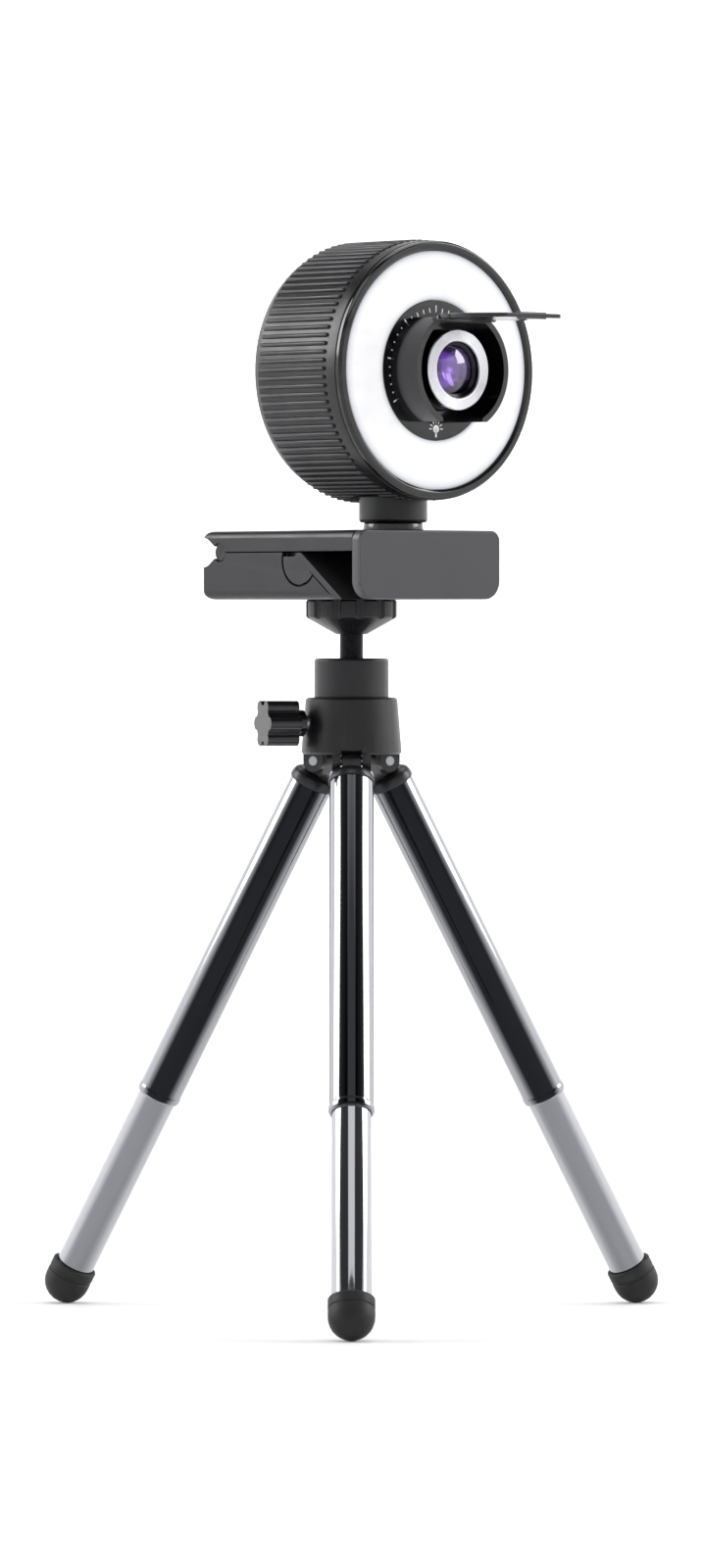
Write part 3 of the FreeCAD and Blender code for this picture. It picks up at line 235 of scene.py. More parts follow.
def ringed_metal(name, hex_colour, rough, ring_mm, depth_mm):
    """A turned metal with tool rings round the lens axis."""
    material, tree, shader, place = metal(name, hex_colour, rough)
    centred = add(tree, "ShaderNodeVectorMath", {0: place, 1: (0, 0, DRUM_Z * MM)},
                  operation="SUBTRACT").outputs[0]
    rings = add(tree, "ShaderNodeTexWave",
                {"Vector": centred, "Scale": 0.314 / (ring_mm * MM), "Distortion": 0.4,
                 "Detail Scale": 1 / (3 * MM)},
                wave_type="RINGS", rings_direction="Y").outputs["Fac"]
    bump(tree, shader, rings, depth_mm)
    return material


# Nickel-chrome plate over drawn steel: one per leg, so the die lines follow the tube. Its edges carry a
# paler painted reflection.
leg_axes = {tag: joints[f"leg_slide_{tag}"]["axis"] for tag in "abc"}
chrome = {tag: drawn_metal(f"chrome_tube_{tag}", "#86878b", 0.07, leg_axes[tag], 0.25, 0.0012, "#aeafb3")
          for tag in "abc"}
# The wide tubes carry a darker, black-nickel plate, with a much paler painted reflection along their edges.
dark_chrome = {tag: drawn_metal(f"dark_chrome_tube_{tag}", "#222326", 0.07, leg_axes[tag], 0.25, 0.0012,
                                "#9d9ea2")
               for tag in "abc"}
# Zinc-plated steel: pins, screws, washer, bracket and ball stem.
steel = drawn_metal("zinc_plated_steel", "#9d9fa3", 0.28, (0, 0, 1), 0.3, 0.003)
# Blackened steel of the ball and its stem.
black_steel = drawn_metal("blackened_steel", "#1c1c1e", 0.27, (0, 0, 1), 0.3, 0.002)
# Machined brass of the tripod insert.
brass = ringed_metal("machined_brass", "#b8924a", 0.25, 0.3, 0.003)
# Turned and polished aluminium of the lens trim.
aluminium = ringed_metal("turned_aluminium", "#cfcfd3", 0.3, 0.9, 0.0005)
# Dark nickel on the lens barrel and focus ring.
black_chrome = ringed_metal("black_nickel", "#2c2c30", 0.16, 0.5, 0.002)
print("metals made")

# %% [markdown]
# ## Light, glass and boards
# The diffuser is milky acrylic with LEDs behind it: brightest in the middle of its band and greyer towards
# both rims, where the light has further to travel. The lens carries a purple anti-reflection coating. Its
# coloured reflection is painted onto the inner element under the clear glass: purple and magenta rings
# round a pale painted highlight, glowing faintly.

# %% Light, glass and board materials
def radius_from_lens(tree, place):
    """The distance from the lens axis, in mm."""
    flat = add(tree, "ShaderNodeVectorMath",
               {0: place, 1: (0, 0, DRUM_Z * MM)}, operation="SUBTRACT").outputs[0]
    flat = add(tree, "ShaderNodeVectorMath", {0: flat, 1: (1, 0, 1)}, operation="MULTIPLY").outputs[0]
    length = add(tree, "ShaderNodeVectorMath", {0: flat}, operation="LENGTH").outputs["Value"]
    return add(tree, "ShaderNodeMath", {0: length, 1: 1 / MM}, operation="MULTIPLY").outputs[0]


def diffuser_material():
    """Milky acrylic, lit from behind."""
    material, tree, shader, place = blank("lit_milky_acrylic")
    radius = radius_from_lens(tree, place)
    across_band = add(tree, "ShaderNodeMapRange",
                      {"Value": radius, "From Min": 18.7, "From Max": 31.8}).outputs["Result"]
    lit = banded(tree, across_band, (
        (0.0, "#a9abb0"), (0.06, "#e4e5e8"), (0.14, "#f7f7f9"), (0.80, "#f7f7f9"),
        (0.92, "#dfe0e3"), (1.0, "#9b9da3")))
    mottle = spread(tree, noise(tree, place, 4.0), 0.9, 0.96)
    tree.links.new(lit, shader.inputs["Emission Color"])
    tree.links.new(mottle, shader.inputs["Emission Strength"])
    shader.inputs["Base Color"].default_value = linear("#55565a")
    shader.inputs["Roughness"].default_value = 0.45
    bump(tree, shader, noise(tree, place, 0.4), 0.004)
    return material


def glass_material():
    """Clear lens glass with a purple coat, over a dark inside."""
    material, tree, shader, place = blank("coated_lens_glass")
    shader.inputs["Base Color"].default_value = linear("#f4ecff")
    shader.inputs["Transmission Weight"].default_value = 1.0
    shader.inputs["Coat Weight"].default_value = 1.0
    shader.inputs["Coat Tint"].default_value = linear("#efe4ff")
    shader.inputs["Coat Roughness"].default_value = 0.02
    shader.inputs["IOR"].default_value = 1.52
    tree.links.new(spread(tree, noise(tree, place, 3.0), 0.01, 0.03), shader.inputs["Roughness"])
    return material


def painted_reflection_element_material():
    """A painted reflection on the inner lens element: purple and magenta rings round a pale painted
    highlight, also painted into a faint glow.
    """
    material, tree, shader, place = blank("painted_purple_reflection")
    radius = radius_from_lens(tree, place)
    share = add(tree, "ShaderNodeMath", {0: radius, 1: 5.0}, operation="DIVIDE").outputs[0]
    drift = add(tree, "ShaderNodeMath", {0: share, 1: spread(tree, noise(tree, place, 5.0), -0.08, 0.08)},
                operation="ADD").outputs[0]
    # Painted reflection: the rings and the pale middle go into both the colour and a faint glow.
    painted_coat_reflection = banded(tree, drift, (
        (0.0, "#d9bfe6"), (0.16, "#5b2f78"), (0.34, "#1c0a30"), (0.58, "#8148a6"),
        (0.8, "#3a1a5c"), (1.0, "#0c0616")))
    tree.links.new(painted_coat_reflection, shader.inputs["Base Color"])
    tree.links.new(painted_coat_reflection, shader.inputs["Emission Color"])
    shader.inputs["Emission Strength"].default_value = 0.3
    shader.inputs["Metallic"].default_value = 0.4
    tree.links.new(spread(tree, noise(tree, place, 2.0), 0.05, 0.12), shader.inputs["Roughness"])
    shader.inputs["Coat Weight"].default_value = 1.0
    shader.inputs["Coat Roughness"].default_value = 0.03
    return material


def board_material():
    """Solder-resist green with faint copper tracks under it."""
    material, tree, shader, place = blank("circuit_board")
    tracks = add(tree, "ShaderNodeTexBrick",
                 {"Vector": place, "Scale": 1 / (4 * MM), "Color1": linear("#0d4a2a"),
                  "Color2": linear("#0f5530"), "Mortar": linear("#2b7a45")})
    tree.links.new(tracks.outputs["Color"], shader.inputs["Base Color"])
    tree.links.new(spread(tree, noise(tree, place, 3.0), 0.25, 0.4), shader.inputs["Roughness"])
    bump(tree, shader, tracks.outputs["Fac"], 0.02)
    return material


diffuser = diffuser_material()
lens_glass = glass_material()
painted_reflection_element = painted_reflection_element_material()
board = board_material()
# Yellow phosphor of a white LED, and the dark silicon of the sensor and microphones.
phosphor = plastic("led_phosphor", "#f0e6a8", 0.4, 0.3, 0.01, "#ffffff")
silicon = plastic("sensor_silicon", "#1a1a2c", 0.1, 0.6, 0.002, "#3a3a50")
# White ink printed on the centre panel.
ink = plastic("white_ink", "#e8e8ea", 0.45, 0.2, 0.002, "#ffffff")
print(len(bpy.data.materials), "materials")

# %% [markdown]
# ## Modelling helpers
# Most of this object is turned: a tube, a ring or a cap is an outline spun round an axis.
# A moulded edge is never knife sharp, so `eased` swaps each corner of an outline for a
# short arc first. Flat moulded parts start from a copy of the CAD solid, whose edges are
# then bevelled, because the shape is right already and only its edges are too sharp.

# %% Modelling helpers
def eased(corners, steps=4):
    """An outline of (radius, height, rounding) corners in mm, with each corner rounded."""
    points = []
    count = len(corners)
    for i, (r, h, ease) in enumerate(corners):
        here = Vector((r, h))
        if not ease:
            points.append(here)
            continue
        before = Vector(corners[i - 1][:2]) - here
        after = Vector(corners[(i + 1) % count][:2]) - here
        half = before.angle(after) / 2
        cut = min(ease / math.tan(half), 0.49 * before.length, 0.49 * after.length)
        start = here + before.normalized() * cut
        end = here + after.normalized() * cut
        for step in range(steps + 1):
            share = step / steps
            points.append(start * (1 - share) ** 2 + here * 2 * share * (1 - share) + end * share ** 2)
    return points


def select_only(piece):
    """Makes one object the only one selected and active."""
    bpy.ops.object.select_all(action="DESELECT")
    piece.select_set(True)
    bpy.context.view_layer.objects.active = piece


def settle(piece):
    """Bakes an object's place into its mesh, so that it sits at the origin, unturned."""
    select_only(piece)
    bpy.ops.object.transform_apply(location=True, rotation=True, scale=True)
    return piece


def turned(name, corners, axis=(0, 0, 1), at=(0, 0, 0), steps=96, shade=32):
    """An outline spun about an axis. Heights run along the axis from the point at, in mm."""
    points = eased(corners)
    mesh = bpy.data.meshes.new(name)
    loop = [(i, (i + 1) % len(points)) for i in range(len(points))]
    mesh.from_pydata([(p.x * MM, 0, p.y * MM) for p in points], loop, [])
    piece = bpy.data.objects.new(name, mesh)
    bpy.context.scene.collection.objects.link(piece)
    select_only(piece)
    bpy.ops.object.mode_set(mode="EDIT")
    bpy.ops.mesh.select_all(action="SELECT")
    bpy.ops.mesh.spin(steps=steps, angle=2 * math.pi, center=(0, 0, 0), axis=(0, 0, 1))
    bpy.ops.mesh.select_all(action="SELECT")
    bpy.ops.mesh.remove_doubles(threshold=0.0008 * MM)
    bpy.ops.mesh.dissolve_degenerate(threshold=0.0005 * MM)
    bpy.ops.mesh.normals_make_consistent(inside=False)
    bpy.ops.object.mode_set(mode="OBJECT")
    piece.rotation_euler = Vector((0, 0, 1)).rotation_difference(Vector(axis)).to_euler()
    piece.location = Vector(at) * MM
    settle(piece)
    bpy.ops.object.shade_smooth_by_angle(angle=math.radians(shade))
    return piece


def softened(name, node, width_mm, segments=2, angle=32):
    """A copy of a CAD node with its sharp edges bevelled."""
    piece = nodes[node].copy()
    piece.data = nodes[node].data.copy()
    # The copy drops the CAD node's own tags, because it is given its body again.
    for key in list(piece.keys()):
        del piece[key]
    piece.parent = None
    piece.name = name
    bpy.context.scene.collection.objects.link(piece)
    piece.hide_render = piece.hide_viewport = False
    select_only(piece)
    bpy.ops.object.mode_set(mode="EDIT")
    bpy.ops.mesh.select_all(action="SELECT")
    bpy.ops.mesh.remove_doubles(threshold=0.002 * MM)
    bpy.ops.mesh.dissolve_limited(angle_limit=math.radians(0.5))
    bpy.ops.mesh.normals_make_consistent(inside=False)
    bpy.ops.object.mode_set(mode="OBJECT")
    bevel = piece.modifiers.new("edges", "BEVEL")
    bevel.width = width_mm * MM
    bevel.segments = segments
    bevel.limit_method = "ANGLE"
    bevel.angle_limit = math.radians(angle)
    bevel.miter_outer = "MITER_ARC"
    bpy.ops.object.modifier_apply(modifier="edges")
    bpy.ops.object.shade_smooth_by_angle(angle=math.radians(angle))
    even = piece.modifiers.new("even", "WEIGHTED_NORMAL")
    even.keep_sharp = True
    bpy.ops.object.modifier_apply(modifier="even")
    return piece


def joined(name, pieces):
    """Several objects as one."""
    bpy.ops.object.select_all(action="DESELECT")
    for piece in pieces:
        piece.select_set(True)
    bpy.context.view_layer.objects.active = pieces[0]
    if len(pieces) > 1:
        bpy.ops.object.join()
    pieces[0].name = name
    return pieces[0]


def block(name, low, high):
    """A plain block between two corners, in mm, to be worked on further."""
    low, high = Vector(low), Vector(high)
    bpy.ops.mesh.primitive_cube_add(size=1, location=(low + high) / 2 * MM)
    piece = bpy.context.active_object
    piece.name = name
    piece.scale = (high - low) * MM
    return settle(piece)


def edged(piece, width_mm, segments=1):
    """Takes the sharpness off every edge of a piece built from blocks."""
    select_only(piece)
    bevel = piece.modifiers.new("soft", "BEVEL")
    bevel.width = width_mm * MM
    bevel.segments = segments
    bpy.ops.object.modifier_apply(modifier="soft")
    return piece


def minus(piece, tool):
    """Cuts one object out of another and removes the tool."""
    select_only(piece)
    cut = piece.modifiers.new("cut", "BOOLEAN")
    cut.operation = "DIFFERENCE"
    cut.solver = "EXACT"
    cut.object = tool
    bpy.ops.object.modifier_apply(modifier="cut")
    bpy.data.objects.remove(tool)
    return piece


def dress(piece, material, body, slot, *replaced):
    """Gives a finished piece its material, its body and the CAD nodes that it stands for."""
    piece.data.materials.clear()
    piece.data.materials.append(material)
    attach(piece, body)
    if replaced:
        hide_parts(*replaced)
    print(f"{piece.name}: {len(piece.data.polygons)} faces")
    return piece


# Everything turned on the head runs back along the drum's own axis.
HEAD = {"axis": (0, 1, 0), "at": (0, NECK_Y, DRUM_Z)}

# %% [markdown]
# ## The ribbed drum
# The drum is one moulding: a ring with a plain band at the front and ribs that run back
# along it. The ring is spun. One rib is a long ball-ended bar, made by pulling half of a
# small sphere away from the other half, and a loop lays 96 of them round the ring. Then the
# slot for the neck is cut through both.

# %% Build the drum
RIBS = 96
RIB_RADIUS = 0.62
RIM = DRUM_RADIUS - RIB_RADIUS
SLOT_RADIUS, SLOT_STRETCH = 9.7, 2.7
front = round(DRUM_FRONT - NECK_Y, 2)
back = round(DRUM_REAR - NECK_Y, 2)
drum_ring = turned("drum_ring", [
    (RIM - 2.4, front + 1.9, 0.1),
    (RIM + 0.2, front + 1.9, 0.25),
    (RIM + 0.2, front + 5.5, 0.25),
    (RIM - 0.05, front + 5.75, 0.1),
    (RIM - 0.05, back - 2.6, 0.5),
    (RIM - 0.45, back - 1.6, 0.6),
    (RIM - 1.0, back, 0.9),
    (RIM - 2.4, back, 0.3),
], steps=192, **HEAD)


def neck_slot(name):
    """A long round-ended plug, the shape of the slot that the neck swings in."""
    bpy.ops.mesh.primitive_cylinder_add(
        vertices=64, radius=SLOT_RADIUS * MM, depth=9 * MM,
        location=(0, NECK_Y * MM, (DRUM_Z - DRUM_RADIUS + 2.5) * MM))
    plug = bpy.context.active_object
    plug.name = name
    for vertex in plug.data.vertices:
        vertex.co.y += math.copysign(SLOT_STRETCH * MM, vertex.co.y) if abs(vertex.co.y) > 1e-7 else 0
    return settle(plug)


minus(drum_ring, neck_slot("ring_slot"))

rib_front, rib_back = front + 6.2, back - 3.0
bpy.ops.mesh.primitive_uv_sphere_add(segments=12, ring_count=8, radius=RIB_RADIUS * MM)
rib = bpy.context.active_object
rib.rotation_euler = (math.radians(90), 0, 0)
settle(rib)
for vertex in rib.data.vertices:
    end = rib_back - RIB_RADIUS if vertex.co.y > 1e-7 else rib_front + RIB_RADIUS
    vertex.co.y += (NECK_Y + end) * MM
    vertex.co.z += RIM * MM
ribs = []
for number in range(RIBS):
    copy = rib.copy()
    copy.data = rib.data.copy()
    bpy.context.scene.collection.objects.link(copy)
    copy.data.transform(Matrix.Rotation(2 * math.pi * number / RIBS, 4, "Y"))
    copy.data.transform(Matrix.Translation((0, 0, DRUM_Z * MM)))
    ribs.append(copy)
bpy.data.objects.remove(rib)
ribs = joined("drum_ribs", ribs)
minus(ribs, neck_slot("rib_slot"))
select_only(ribs)
bpy.ops.object.shade_smooth_by_angle(angle=math.radians(40))
drum = joined("drum", [drum_ring, ribs])
dress(drum, black_abs, "head", "black_abs", "ribbed_shell")

# %% [markdown]
# ## Bezel, diffuser and centre panel
# The bezel is a polished ring with a round outer lip that catches a thin line of light. The
# diffuser and the panel behind the lens are turned discs. Small printed marks sit on the
# panel: a ring of ticks and a brightness sign over the touch key.

# %% Build the face
bezel = turned("bezel", [
    (31.8, front + 0.45, 0.15),
    (32.5, front, 0.35),
    (33.9, front, 0.5),
    (34.45, front + 0.7, 0.4),
    (34.45, front + 1.8, 0.15),
    (31.8, front + 1.8, 0.1),
], steps=192, **HEAD)
dress(bezel, gloss_black, "head", "gloss_black", "front_bezel")

ring_light = turned("ring_light", [
    (18.8, front + 0.75, 0.1),
    (31.7, front + 0.75, 0.1),
    (31.7, front + 2.4, 0.1),
    (18.8, front + 2.4, 0.1),
], steps=128, **HEAD)
dress(ring_light, diffuser, "head", "diffuser_white", "light_diffuser")

panel = turned("panel", [
    (10.95, front + 0.75, 0.1),
    (18.7, front + 0.75, 0.15),
    (18.7, front + 2.15, 0.1),
    (10.95, front + 2.15, 0.1),
], steps=128, **HEAD)
dress(panel, gloss_black, "head", "gloss_black", "centre_panel")


def printed_bar(name, inner, outer, width, angle, centre=(0.0, 0.0)):
    """A thin printed bar between two radii, turned by an angle from straight up."""
    surface = NECK_Y + front + 0.75
    bar = block(name, (-width / 2, surface - 0.03, inner), (width / 2, surface + 0.02, outer))
    bar.data.transform(Matrix.Rotation(math.radians(angle), 4, "Y"))
    bar.data.transform(Matrix.Translation(Vector((centre[0], 0, DRUM_Z + centre[1])) * MM))
    return bar


marks = [printed_bar("tick", 15.4, 16.6 if step % 5 else 17.3, 0.35, -120 + step * 8)
         for step in range(31)]
marks += [printed_bar("ray", 1.5, 2.4, 0.3, angle, (0, -15.6)) for angle in range(-90, 91, 30)]
marks.append(printed_bar("stalk", -2.2, 0, 0.5, 0, (0, -15.6)))
bpy.ops.mesh.primitive_cylinder_add(vertices=32, radius=1.05 * MM, depth=0.05 * MM,
                                    location=Vector((0, NECK_Y + front + 0.745, DRUM_Z - 15.6)) * MM,
                                    rotation=(math.radians(90), 0, 0))
marks.append(settle(bpy.context.active_object))
marks = edged(joined("printed_marks", marks), 0.01)
dress(marks, ink, "head", "diffuser_white")

# %% [markdown]
# ## The lens
# From outside in: a fixed barrel, a focus ring that turns on it, a bright turned trim with
# five fine grooves, a domed front glass, and the stepped black cone that keeps stray light
# off the inner glass.

# %% Build the lens
LENS_REACH = 9.0
tip = FACE - NECK_Y - LENS_REACH
barrel = turned("barrel", [
    (9.0, tip + 4.4, 0.1),
    (10.6, tip + 4.4, 0.25),
    (10.6, tip + 15.0, 0.1),
    (7.8, tip + 15.0, 0.1),
    (7.8, tip + 10.0, 0.1),
    (9.0, tip + 10.0, 0.1),
], steps=128, **HEAD)
dress(barrel, black_chrome, "head", "black_chrome", "lens_barrel")

focus = turned("focus_sleeve", [
    (7.5, tip + 0.7, 0.0),
    (10.6, tip + 0.7, 0.1),
    (10.6, tip + 4.2, 0.25),
    (8.85, tip + 4.2, 0.1),
    (8.85, tip + 6.6, 0.1),
    (6.55, tip + 6.6, 0.1),
    (6.55, tip + 2.0, 0.0),
    (7.5, tip + 1.6, 0.0),
], steps=128, **HEAD)
dress(focus, black_chrome, "focus", "black_chrome", "focus_ring")

grooved = [(7.5, tip + 0.7, 0.0), (7.5, tip + 0.25, 0.1), (7.8, tip, 0.1)]
for number in range(5):
    inner = 8.15 + number * 0.46
    grooved += [(inner, tip, 0.03), (inner + 0.07, tip + 0.12, 0.03),
                (inner + 0.17, tip + 0.12, 0.03), (inner + 0.24, tip, 0.03)]
grooved += [(10.45, tip, 0.1), (10.75, tip + 0.28, 0.1), (10.75, tip + 0.7, 0.05)]
trim = turned("trim", grooved, steps=160, shade=25, **HEAD)
dress(trim, aluminium, "focus", "turned_aluminium", "lens_trim")

dome_corners = [(0, tip + 3.6, 0), (0, tip + 1.1, 0)]
for step in range(1, 9):
    radius = 6.4 * step / 8
    dome_corners.append((radius, tip + 1.1 + 1.2 * (radius / 6.4) ** 2, 0))
dome_corners += [(6.4, tip + 3.0, 0)]
for step in range(7, 0, -1):
    radius = 6.4 * step / 8
    dome_corners.append((radius, tip + 3.6 - 0.6 * (radius / 6.4) ** 2, 0))
dome = turned("front_glass", dome_corners, steps=96, shade=60, **HEAD)
dress(dome, lens_glass, "head", "coated_glass", "front_lens")

cone = [(6.45, tip + 3.05, 0.0)]
for number in range(4):
    radius = 6.3 - number * 0.55
    depth = tip + 3.1 + number * 0.55
    cone += [(radius, depth, 0.0), (radius, depth + 0.5, 0.0)]
cone += [(3.9, tip + 5.4, 0.0), (6.45, tip + 5.4, 0.0)]
cone = turned("light_cone", cone, steps=96, shade=20, **HEAD)
dress(cone, gloss_black, "head", "gloss_black")

inner_corners = [(0, tip + 6.4, 0), (0, tip + 4.3, 0)]
for step in range(1, 7):
    radius = 4.6 * step / 6
    inner_corners.append((radius, tip + 4.3 + 1.0 * (radius / 4.6) ** 2, 0))
inner_corners.append((4.6, tip + 6.4, 0))
inner_glass = turned("inner_glass", inner_corners, steps=64, shade=60, **HEAD)
dress(inner_glass, painted_reflection_element, "head", "coated_glass")

# %% [markdown]
# ## The privacy cover
# A shroud with two curved walls stands round the lens, and a thin flap hinged at its top
# closes it. Both start from the CAD solids and get soft moulded edges. The flap's tip has a
# small raised lip for a fingernail.

# %% Build the privacy cover
dress(softened("shroud", "shutter_frame", 0.22), gloss_black, "head", "gloss_black", "shutter_frame")
flap_low, flap_high = low_high("shutter_flap")
flap = softened("flap_plate", "shutter_flap", 0.16)
middle_z = (flap_low.z + flap_high.z) / 2
lip = block("flap_lip", (-5, flap_low.y + 0.25, middle_z - 0.9), (5, flap_low.y + 1.3, middle_z + 0.9))
flap = joined("privacy_flap", [flap, edged(lip, 0.35, 3)])
dress(flap, gloss_black, "shutter", "gloss_black", "shutter_flap")

# %% [markdown]
# ## Back of the drum
# The rear cover is a shallow dish with a stepped rim. Three screws with cross recesses hold
# it, and a rubber grommet guides the cable through its lower half.

# %% Build the back
dress(softened("back_cover", "rear_cover", 0.3), black_abs, "head", "black_abs", "rear_cover")


def cross_screw(name, centre, radius, axis):
    """A pan-head screw whose cross recess is cut by two small blocks."""
    head = turned(name, [
        (0, -0.9, 0), (radius, -0.9, 0.1), (radius, -0.15, 0.3), (radius * 0.5, 0.0, 0.3), (0, 0.0, 0),
    ], steps=48, axis=axis, at=centre)
    turn = Vector((0, 0, 1)).rotation_difference(Vector(axis)).to_matrix().to_4x4()
    for wide in (True, False):
        a, b = (radius * 0.62, 0.28) if wide else (0.28, radius * 0.62)
        bit = block("bit", (-a, -b, -0.55), (a, b, 0.4))
        bit.data.transform(turn)
        bit.data.transform(Matrix.Translation(Vector(centre) * MM))
        minus(head, bit)
    return head


SCREW_RING = 27.38
screws = []
for angle in (90, 210, 330):
    x = SCREW_RING * math.cos(math.radians(angle))
    z = DRUM_Z + SCREW_RING * math.sin(math.radians(angle))
    screws.append(cross_screw("screw", (x, DRUM_REAR - 0.25, z), 1.75, (0, 1, 0)))
dress(joined("back_screws", screws), steel, "head", "steel", "rear_screws")

grommet_low, grommet_high = low_high("cable_grommet")
grommet_z = (grommet_low.z + grommet_high.z) / 2
grommet = turned("grommet", [
    (0, -5, 0), (4, -5, 0.2), (4, -0.1, 0.3), (3.4, 0, 0.3),
    (2.4, 0, 0.4), (2.0, -0.5, 0.2), (2.0, -4, 0.1), (0, -4, 0),
], steps=64, axis=(0, 1, 0), at=(0, DRUM_REAR, grommet_z))
dress(grommet, rubber, "head", "black_rubber", "cable_grommet")

# %% [markdown]
# ## Neck
# The post's skirt hides the tilt pin, and the ring under it is the swivel's washer face.
# Both are turned, so the CAD outline only needs rounder edges.

# %% Build the neck
dress(softened("post", "neck_post", 0.4, 3), black_abs, "neck", "black_abs", "neck_post")
ring_low, ring_high = low_high("neck_collar")
swivel_ring = turned("swivel_ring", [
    (4.1, ring_low.z, 0.1), (8.15, ring_low.z, 0.25), (7.85, ring_high.z, 0.5), (4.1, ring_high.z, 0.1),
], at=(0, NECK_Y, 0))
dress(swivel_ring, gloss_black, "neck", "gloss_black", "neck_collar")

# %% [markdown]
# ## Clip
# The clip's shells, flap and front plate keep their CAD shape. Their edges are bevelled
# wide enough to catch light along the whole length, as a moulding's edges do.

# %% Build the clip
dress(softened("top_shell", "clip_top_shell", 0.3, 3), black_abs, "clip_lid", "black_abs", "clip_top_shell")
dress(softened("face_plate", "front_plate", 0.12), grey_paint, "clip_lid", "grey_front", "front_plate")
dress(softened("under_sheet", "underplate", 0.15), black_abs, "clip_lid", "black_abs", "underplate")
dress(softened("jaw_pad", "grip_pad", 0.15), rubber, "clip_lid", "black_rubber", "grip_pad")
dress(softened("leg_shell", "clip_leg_shell", 0.25), black_abs, "ball_head", "black_abs", "clip_leg_shell")
dress(softened("leg_lid", "clip_leg_cover", 0.15), black_abs, "ball_head", "black_abs", "clip_leg_cover")
dress(softened("swing_foot", "foot_flap", 0.15), grain_coat, "flap", "black_abs", "foot_flap")

# %% [markdown]
# ## Tripod head
# The platform has scalloped grips, the collar and hub are turned, and the lock knob is a
# lobed moulding on a steel screw.

# %% Build the tripod head
dress(softened("grip_platform", "platform", 0.2), black_abs, "ball_head", "black_abs", "platform")
dress(softened("ball_collar", "collar", 0.2), black_abs, "tripod_hub", "black_abs", "collar")
dress(softened("leg_hub", "hub", 0.25), black_abs, "tripod_hub", "black_abs", "hub")
dress(softened("grip_knob", "lock_knob", 0.4, 3), gloss_black, "knob", "gloss_black", "lock_knob")

# %% [markdown]
# ## Legs
# Each leg has a cap on a pin, a wide chromed tube whose end is rolled in, a narrow chromed
# tube that slides in it, and a rubber foot. One function builds a leg about its own line,
# and a loop makes three.

# %% Build the legs
def along(node, axis, at):
    """The lowest and highest place of a CAD node along an axis, in mm from the point at."""
    heights = [(v.co / MM - at).dot(Vector(axis)) for v in nodes[node].data.vertices]
    return min(heights), max(heights)


def leg(tag):
    """All the shown pieces of one leg. Heights run down the leg from its pin, in mm."""
    line = {"axis": leg_axes[tag], "at": Vector(joints[f"leg_fold_{tag}"]["pos_m"]) / MM}
    end, start = along(f"upper_tube_{tag}", **line)
    narrow_end, narrow_start = along(f"lower_tube_{tag}", **line)
    ball = along(f"foot_{tag}", **line)[0] + 6.2
    upper = turned(f"wide_tube_{tag}", [
        (5.35, start, 0.05), (5.9, start, 0.15), (5.9, end + 2.4, 0.3), (6.05, end + 1.8, 0.25),
        (6.05, end + 0.6, 0.3), (5.75, end, 0.2), (5.27, end, 0.1), (5.27, end + 2, 0.1),
        (5.35, end + 2.5, 0.1),
    ], **line)
    dress(upper, dark_chrome[tag], f"leg_{tag}", "chrome", f"upper_tube_{tag}")
    lower = turned(f"narrow_tube_{tag}", [
        (4.6, narrow_start, 0.05), (5.2, narrow_start, 0.15),
        (5.2, narrow_end, 0.05), (4.6, narrow_end, 0.05),
    ], **line)
    dress(lower, chrome[tag], f"leg_{tag}_lower", "chrome", f"lower_tube_{tag}")
    outline = [(0, ball - 6.2, 0)]
    for step in range(1, 9):
        angle = math.radians(90 * step / 8)
        outline.append((6.2 * math.sin(angle), ball - 6.2 * math.cos(angle), 0))
    outline += [(6.2, ball + 1.6, 0.1), (6.0, ball + 1.8, 0.1), (6.0, ball + 2.2, 0.1),
                (6.2, ball + 2.4, 0.1), (6.2, ball + 5.1, 0.4), (5.25, ball + 5.1, 0.2),
                (5.25, ball + 1, 0), (0, ball + 1, 0)]
    foot = turned(f"rubber_foot_{tag}", outline, **line)
    dress(foot, rubber, f"leg_{tag}_lower", "black_rubber", f"foot_{tag}")
    head = softened(f"hinge_cap_{tag}", f"leg_head_{tag}", 0.25)
    dress(head, black_abs, f"leg_{tag}", "black_abs", f"leg_head_{tag}")


for tag in "abc":
    leg(tag)

# %% [markdown]
# ## The CAD nodes that stay
# Pins, boards, chips and the hidden fittings are simple parts, so they stay as the CAD made
# them. They still get real materials, because they show when a joint opens.

# %% Dress the remaining CAD nodes
KEPT = {
    steel: ("leg_pins", "lock_screw", "hinge_pin", "flap_pin", "neck_washer", "neck_screw",
            "tilt_bracket", "tilt_pin", "shutter_pin"),
    black_steel: ("ball_stem",),
    brass: ("tripod_insert",),
    board: ("led_board", "main_board"),
    phosphor: ("leds",),
    silicon: ("microphones", "image_sensor"),
    black_abs: ("ball_seat", "lens_holder", "slide_bush_a", "slide_bush_b", "slide_bush_c"),
}
for material, names in KEPT.items():
    for name in names:
        mesh = nodes[name].data
        mesh.materials.clear()
        mesh.materials.append(material)
shown = [name for name, node in nodes.items() if not node.hide_render]
print("CAD nodes that show:", len(shown))
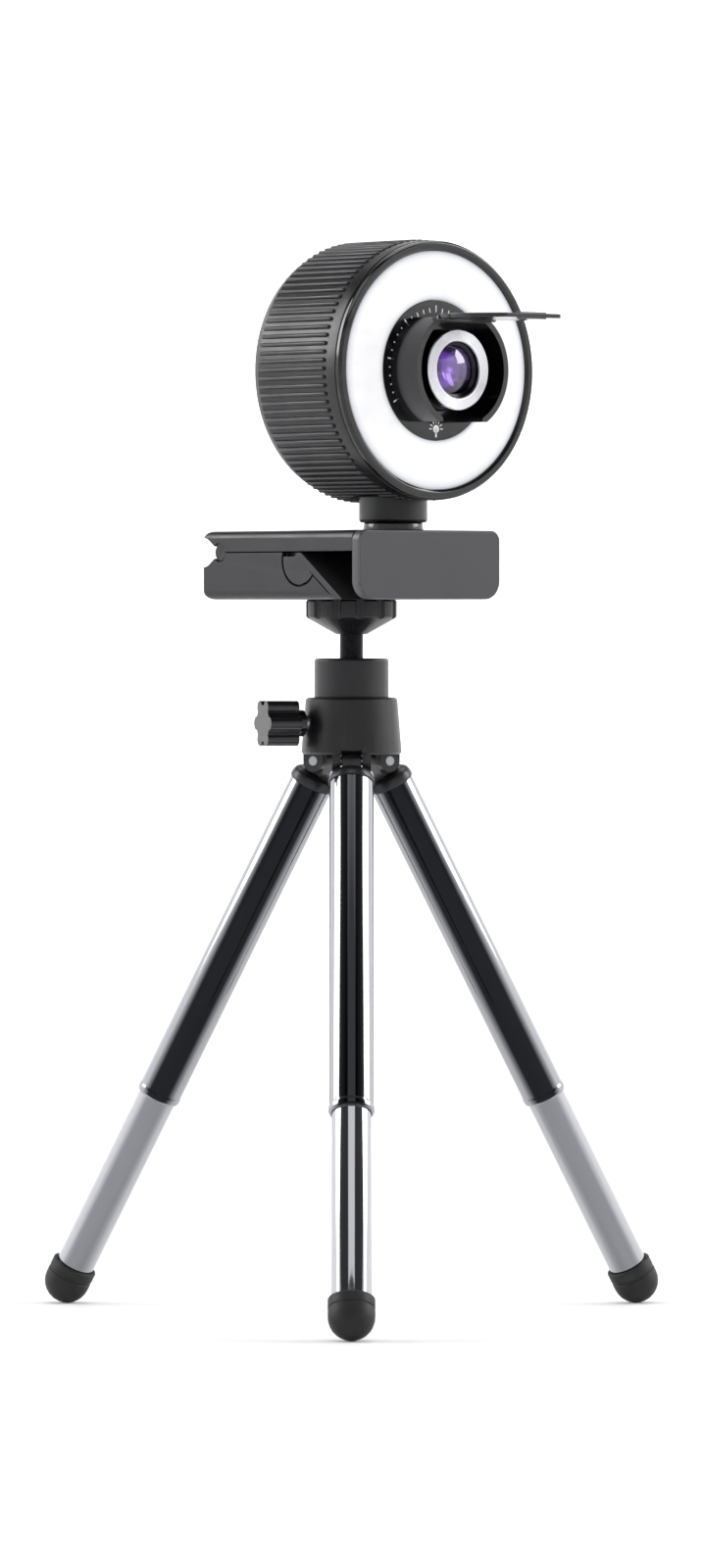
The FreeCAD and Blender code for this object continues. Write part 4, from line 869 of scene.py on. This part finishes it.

# %% [markdown]
# ## Studio
# A round white sweep runs under the tripod and up all round it, so every side is seen against the same pale
# paper. Two soft boxes stand at the sides and one hangs above. The paper also glows by itself, a painted
# light: faintly round the tripod and more strongly further out, and only a quarter as strongly on the main
# camera's side, which keeps a dark reflection down the front leg.

# %% Build the studio
floor_material, tree, shader, place = blank("white_paper_sweep")
fibre = spread(tree, noise(tree, place, 60.0), 0, 1)
tree.links.new(mixed(tree, fibre, linear("#efeff0"), linear("#f3f3f4")), shader.inputs["Base Color"])
shader.inputs["Roughness"].default_value = 0.6
shader.inputs["Specular IOR Level"].default_value = 0.1
VIEW_AZIMUTH = -41.0
PAPER_RADIUS, PAPER_HEIGHT, PAPER_BEND, PAPER_THICK = 9000, 5000, 2500, 200
across = math.radians(VIEW_AZIMUTH)
# Painted light: the paper's glow grows with distance from the tripod and is dimmed to a quarter on the main
# camera's side.
distance = add(tree, "ShaderNodeVectorMath", {0: place}, operation="LENGTH").outputs["Value"]
beyond = add(tree, "ShaderNodeVectorMath", {0: place, 1: (-math.sin(across), math.cos(across), 0)},
             operation="DOT_PRODUCT").outputs["Value"]
outward = add(tree, "ShaderNodeMapRange", {
    "Value": distance, "From Min": 0.3, "From Max": 2.8, "To Min": 0.04, "To Max": 0.85}).outputs[0]
near_wall = add(tree, "ShaderNodeMapRange", {
    "Value": beyond, "From Min": -5.0, "From Max": -3.0, "To Min": 0.25, "To Max": 1.0}).outputs[0]
glow = add(tree, "ShaderNodeMath", {0: outward, 1: near_wall}, operation="MULTIPLY").outputs[0]
shader.inputs["Emission Color"].default_value = linear("#ffffff")
tree.links.new(glow, shader.inputs["Emission Strength"])

sweep = turned("paper_sweep", [
    (0, -PAPER_THICK, 0), (0, 0, 0), (PAPER_RADIUS, 0, PAPER_BEND), (PAPER_RADIUS, PAPER_HEIGHT, 0),
    (PAPER_RADIUS + PAPER_THICK, PAPER_HEIGHT, 0), (PAPER_RADIUS + PAPER_THICK, -PAPER_THICK, 0),
])
sweep.data.materials.append(floor_material)


def soft_box(name, azimuth, distance, height, size, power):
    """A soft box at an azimuth round the object, aimed at its middle."""
    light = bpy.data.lights.new(name, "AREA")
    light.shape = "RECTANGLE"
    light.size, light.size_y = size
    light.energy = power
    lamp = bpy.data.objects.new(name, light)
    bpy.context.scene.collection.objects.link(lamp)
    angle = math.radians(azimuth)
    lamp.location = (distance * math.sin(angle), -distance * math.cos(angle), height)
    lamp.rotation_euler = (Vector((0, 0, 0.15)) - lamp.location).to_track_quat("-Z", "Y").to_euler()


soft_box("left_box", VIEW_AZIMUTH - 100, 1.3, 0.85, (0.7, 0.8), 11)
soft_box("right_box", VIEW_AZIMUTH + 100, 1.3, 0.85, (0.7, 0.8), 11)
soft_box("top_box", VIEW_AZIMUTH + 175, 0.5, 1.6, (1.2, 1.2), 12)
soft_box("key_box", VIEW_AZIMUTH, 0.8, 1.35, (0.9, 0.7), 4)

world = bpy.data.worlds.new("studio")
world.use_nodes = True
world.node_tree.nodes["Background"].inputs["Color"].default_value = linear("#d8dadd")
world.node_tree.nodes["Background"].inputs["Strength"].default_value = 0.16
bpy.context.scene.world = world

# %% [markdown]
# ## Camera
# A long lens from two and a half metres, level with the clip, so that upright parts stay
# upright and the legs' feet fan out only a little.

# %% Set the camera
CAMERA_DISTANCE, CAMERA_HEIGHT, AIM_HEIGHT = 2.45, 0.185, 0.143
HALF_WIDTH_SEEN = 0.0945
TALL_TO_WIDE = 1600 / 717
lens = bpy.data.cameras.new("camera")
lens.angle = 2 * math.atan(HALF_WIDTH_SEEN * TALL_TO_WIDE / CAMERA_DISTANCE)
camera = bpy.data.objects.new("camera", lens)
bpy.context.scene.collection.objects.link(camera)
camera.location = (CAMERA_DISTANCE * math.sin(across), -CAMERA_DISTANCE * math.cos(across), CAMERA_HEIGHT)
aim = Vector((0.0, 0.0, AIM_HEIGHT))
camera.rotation_euler = (aim - camera.location).to_track_quat("-Z", "Y").to_euler()
bpy.context.scene.camera = camera
bpy.context.scene.view_settings.view_transform = "Standard"
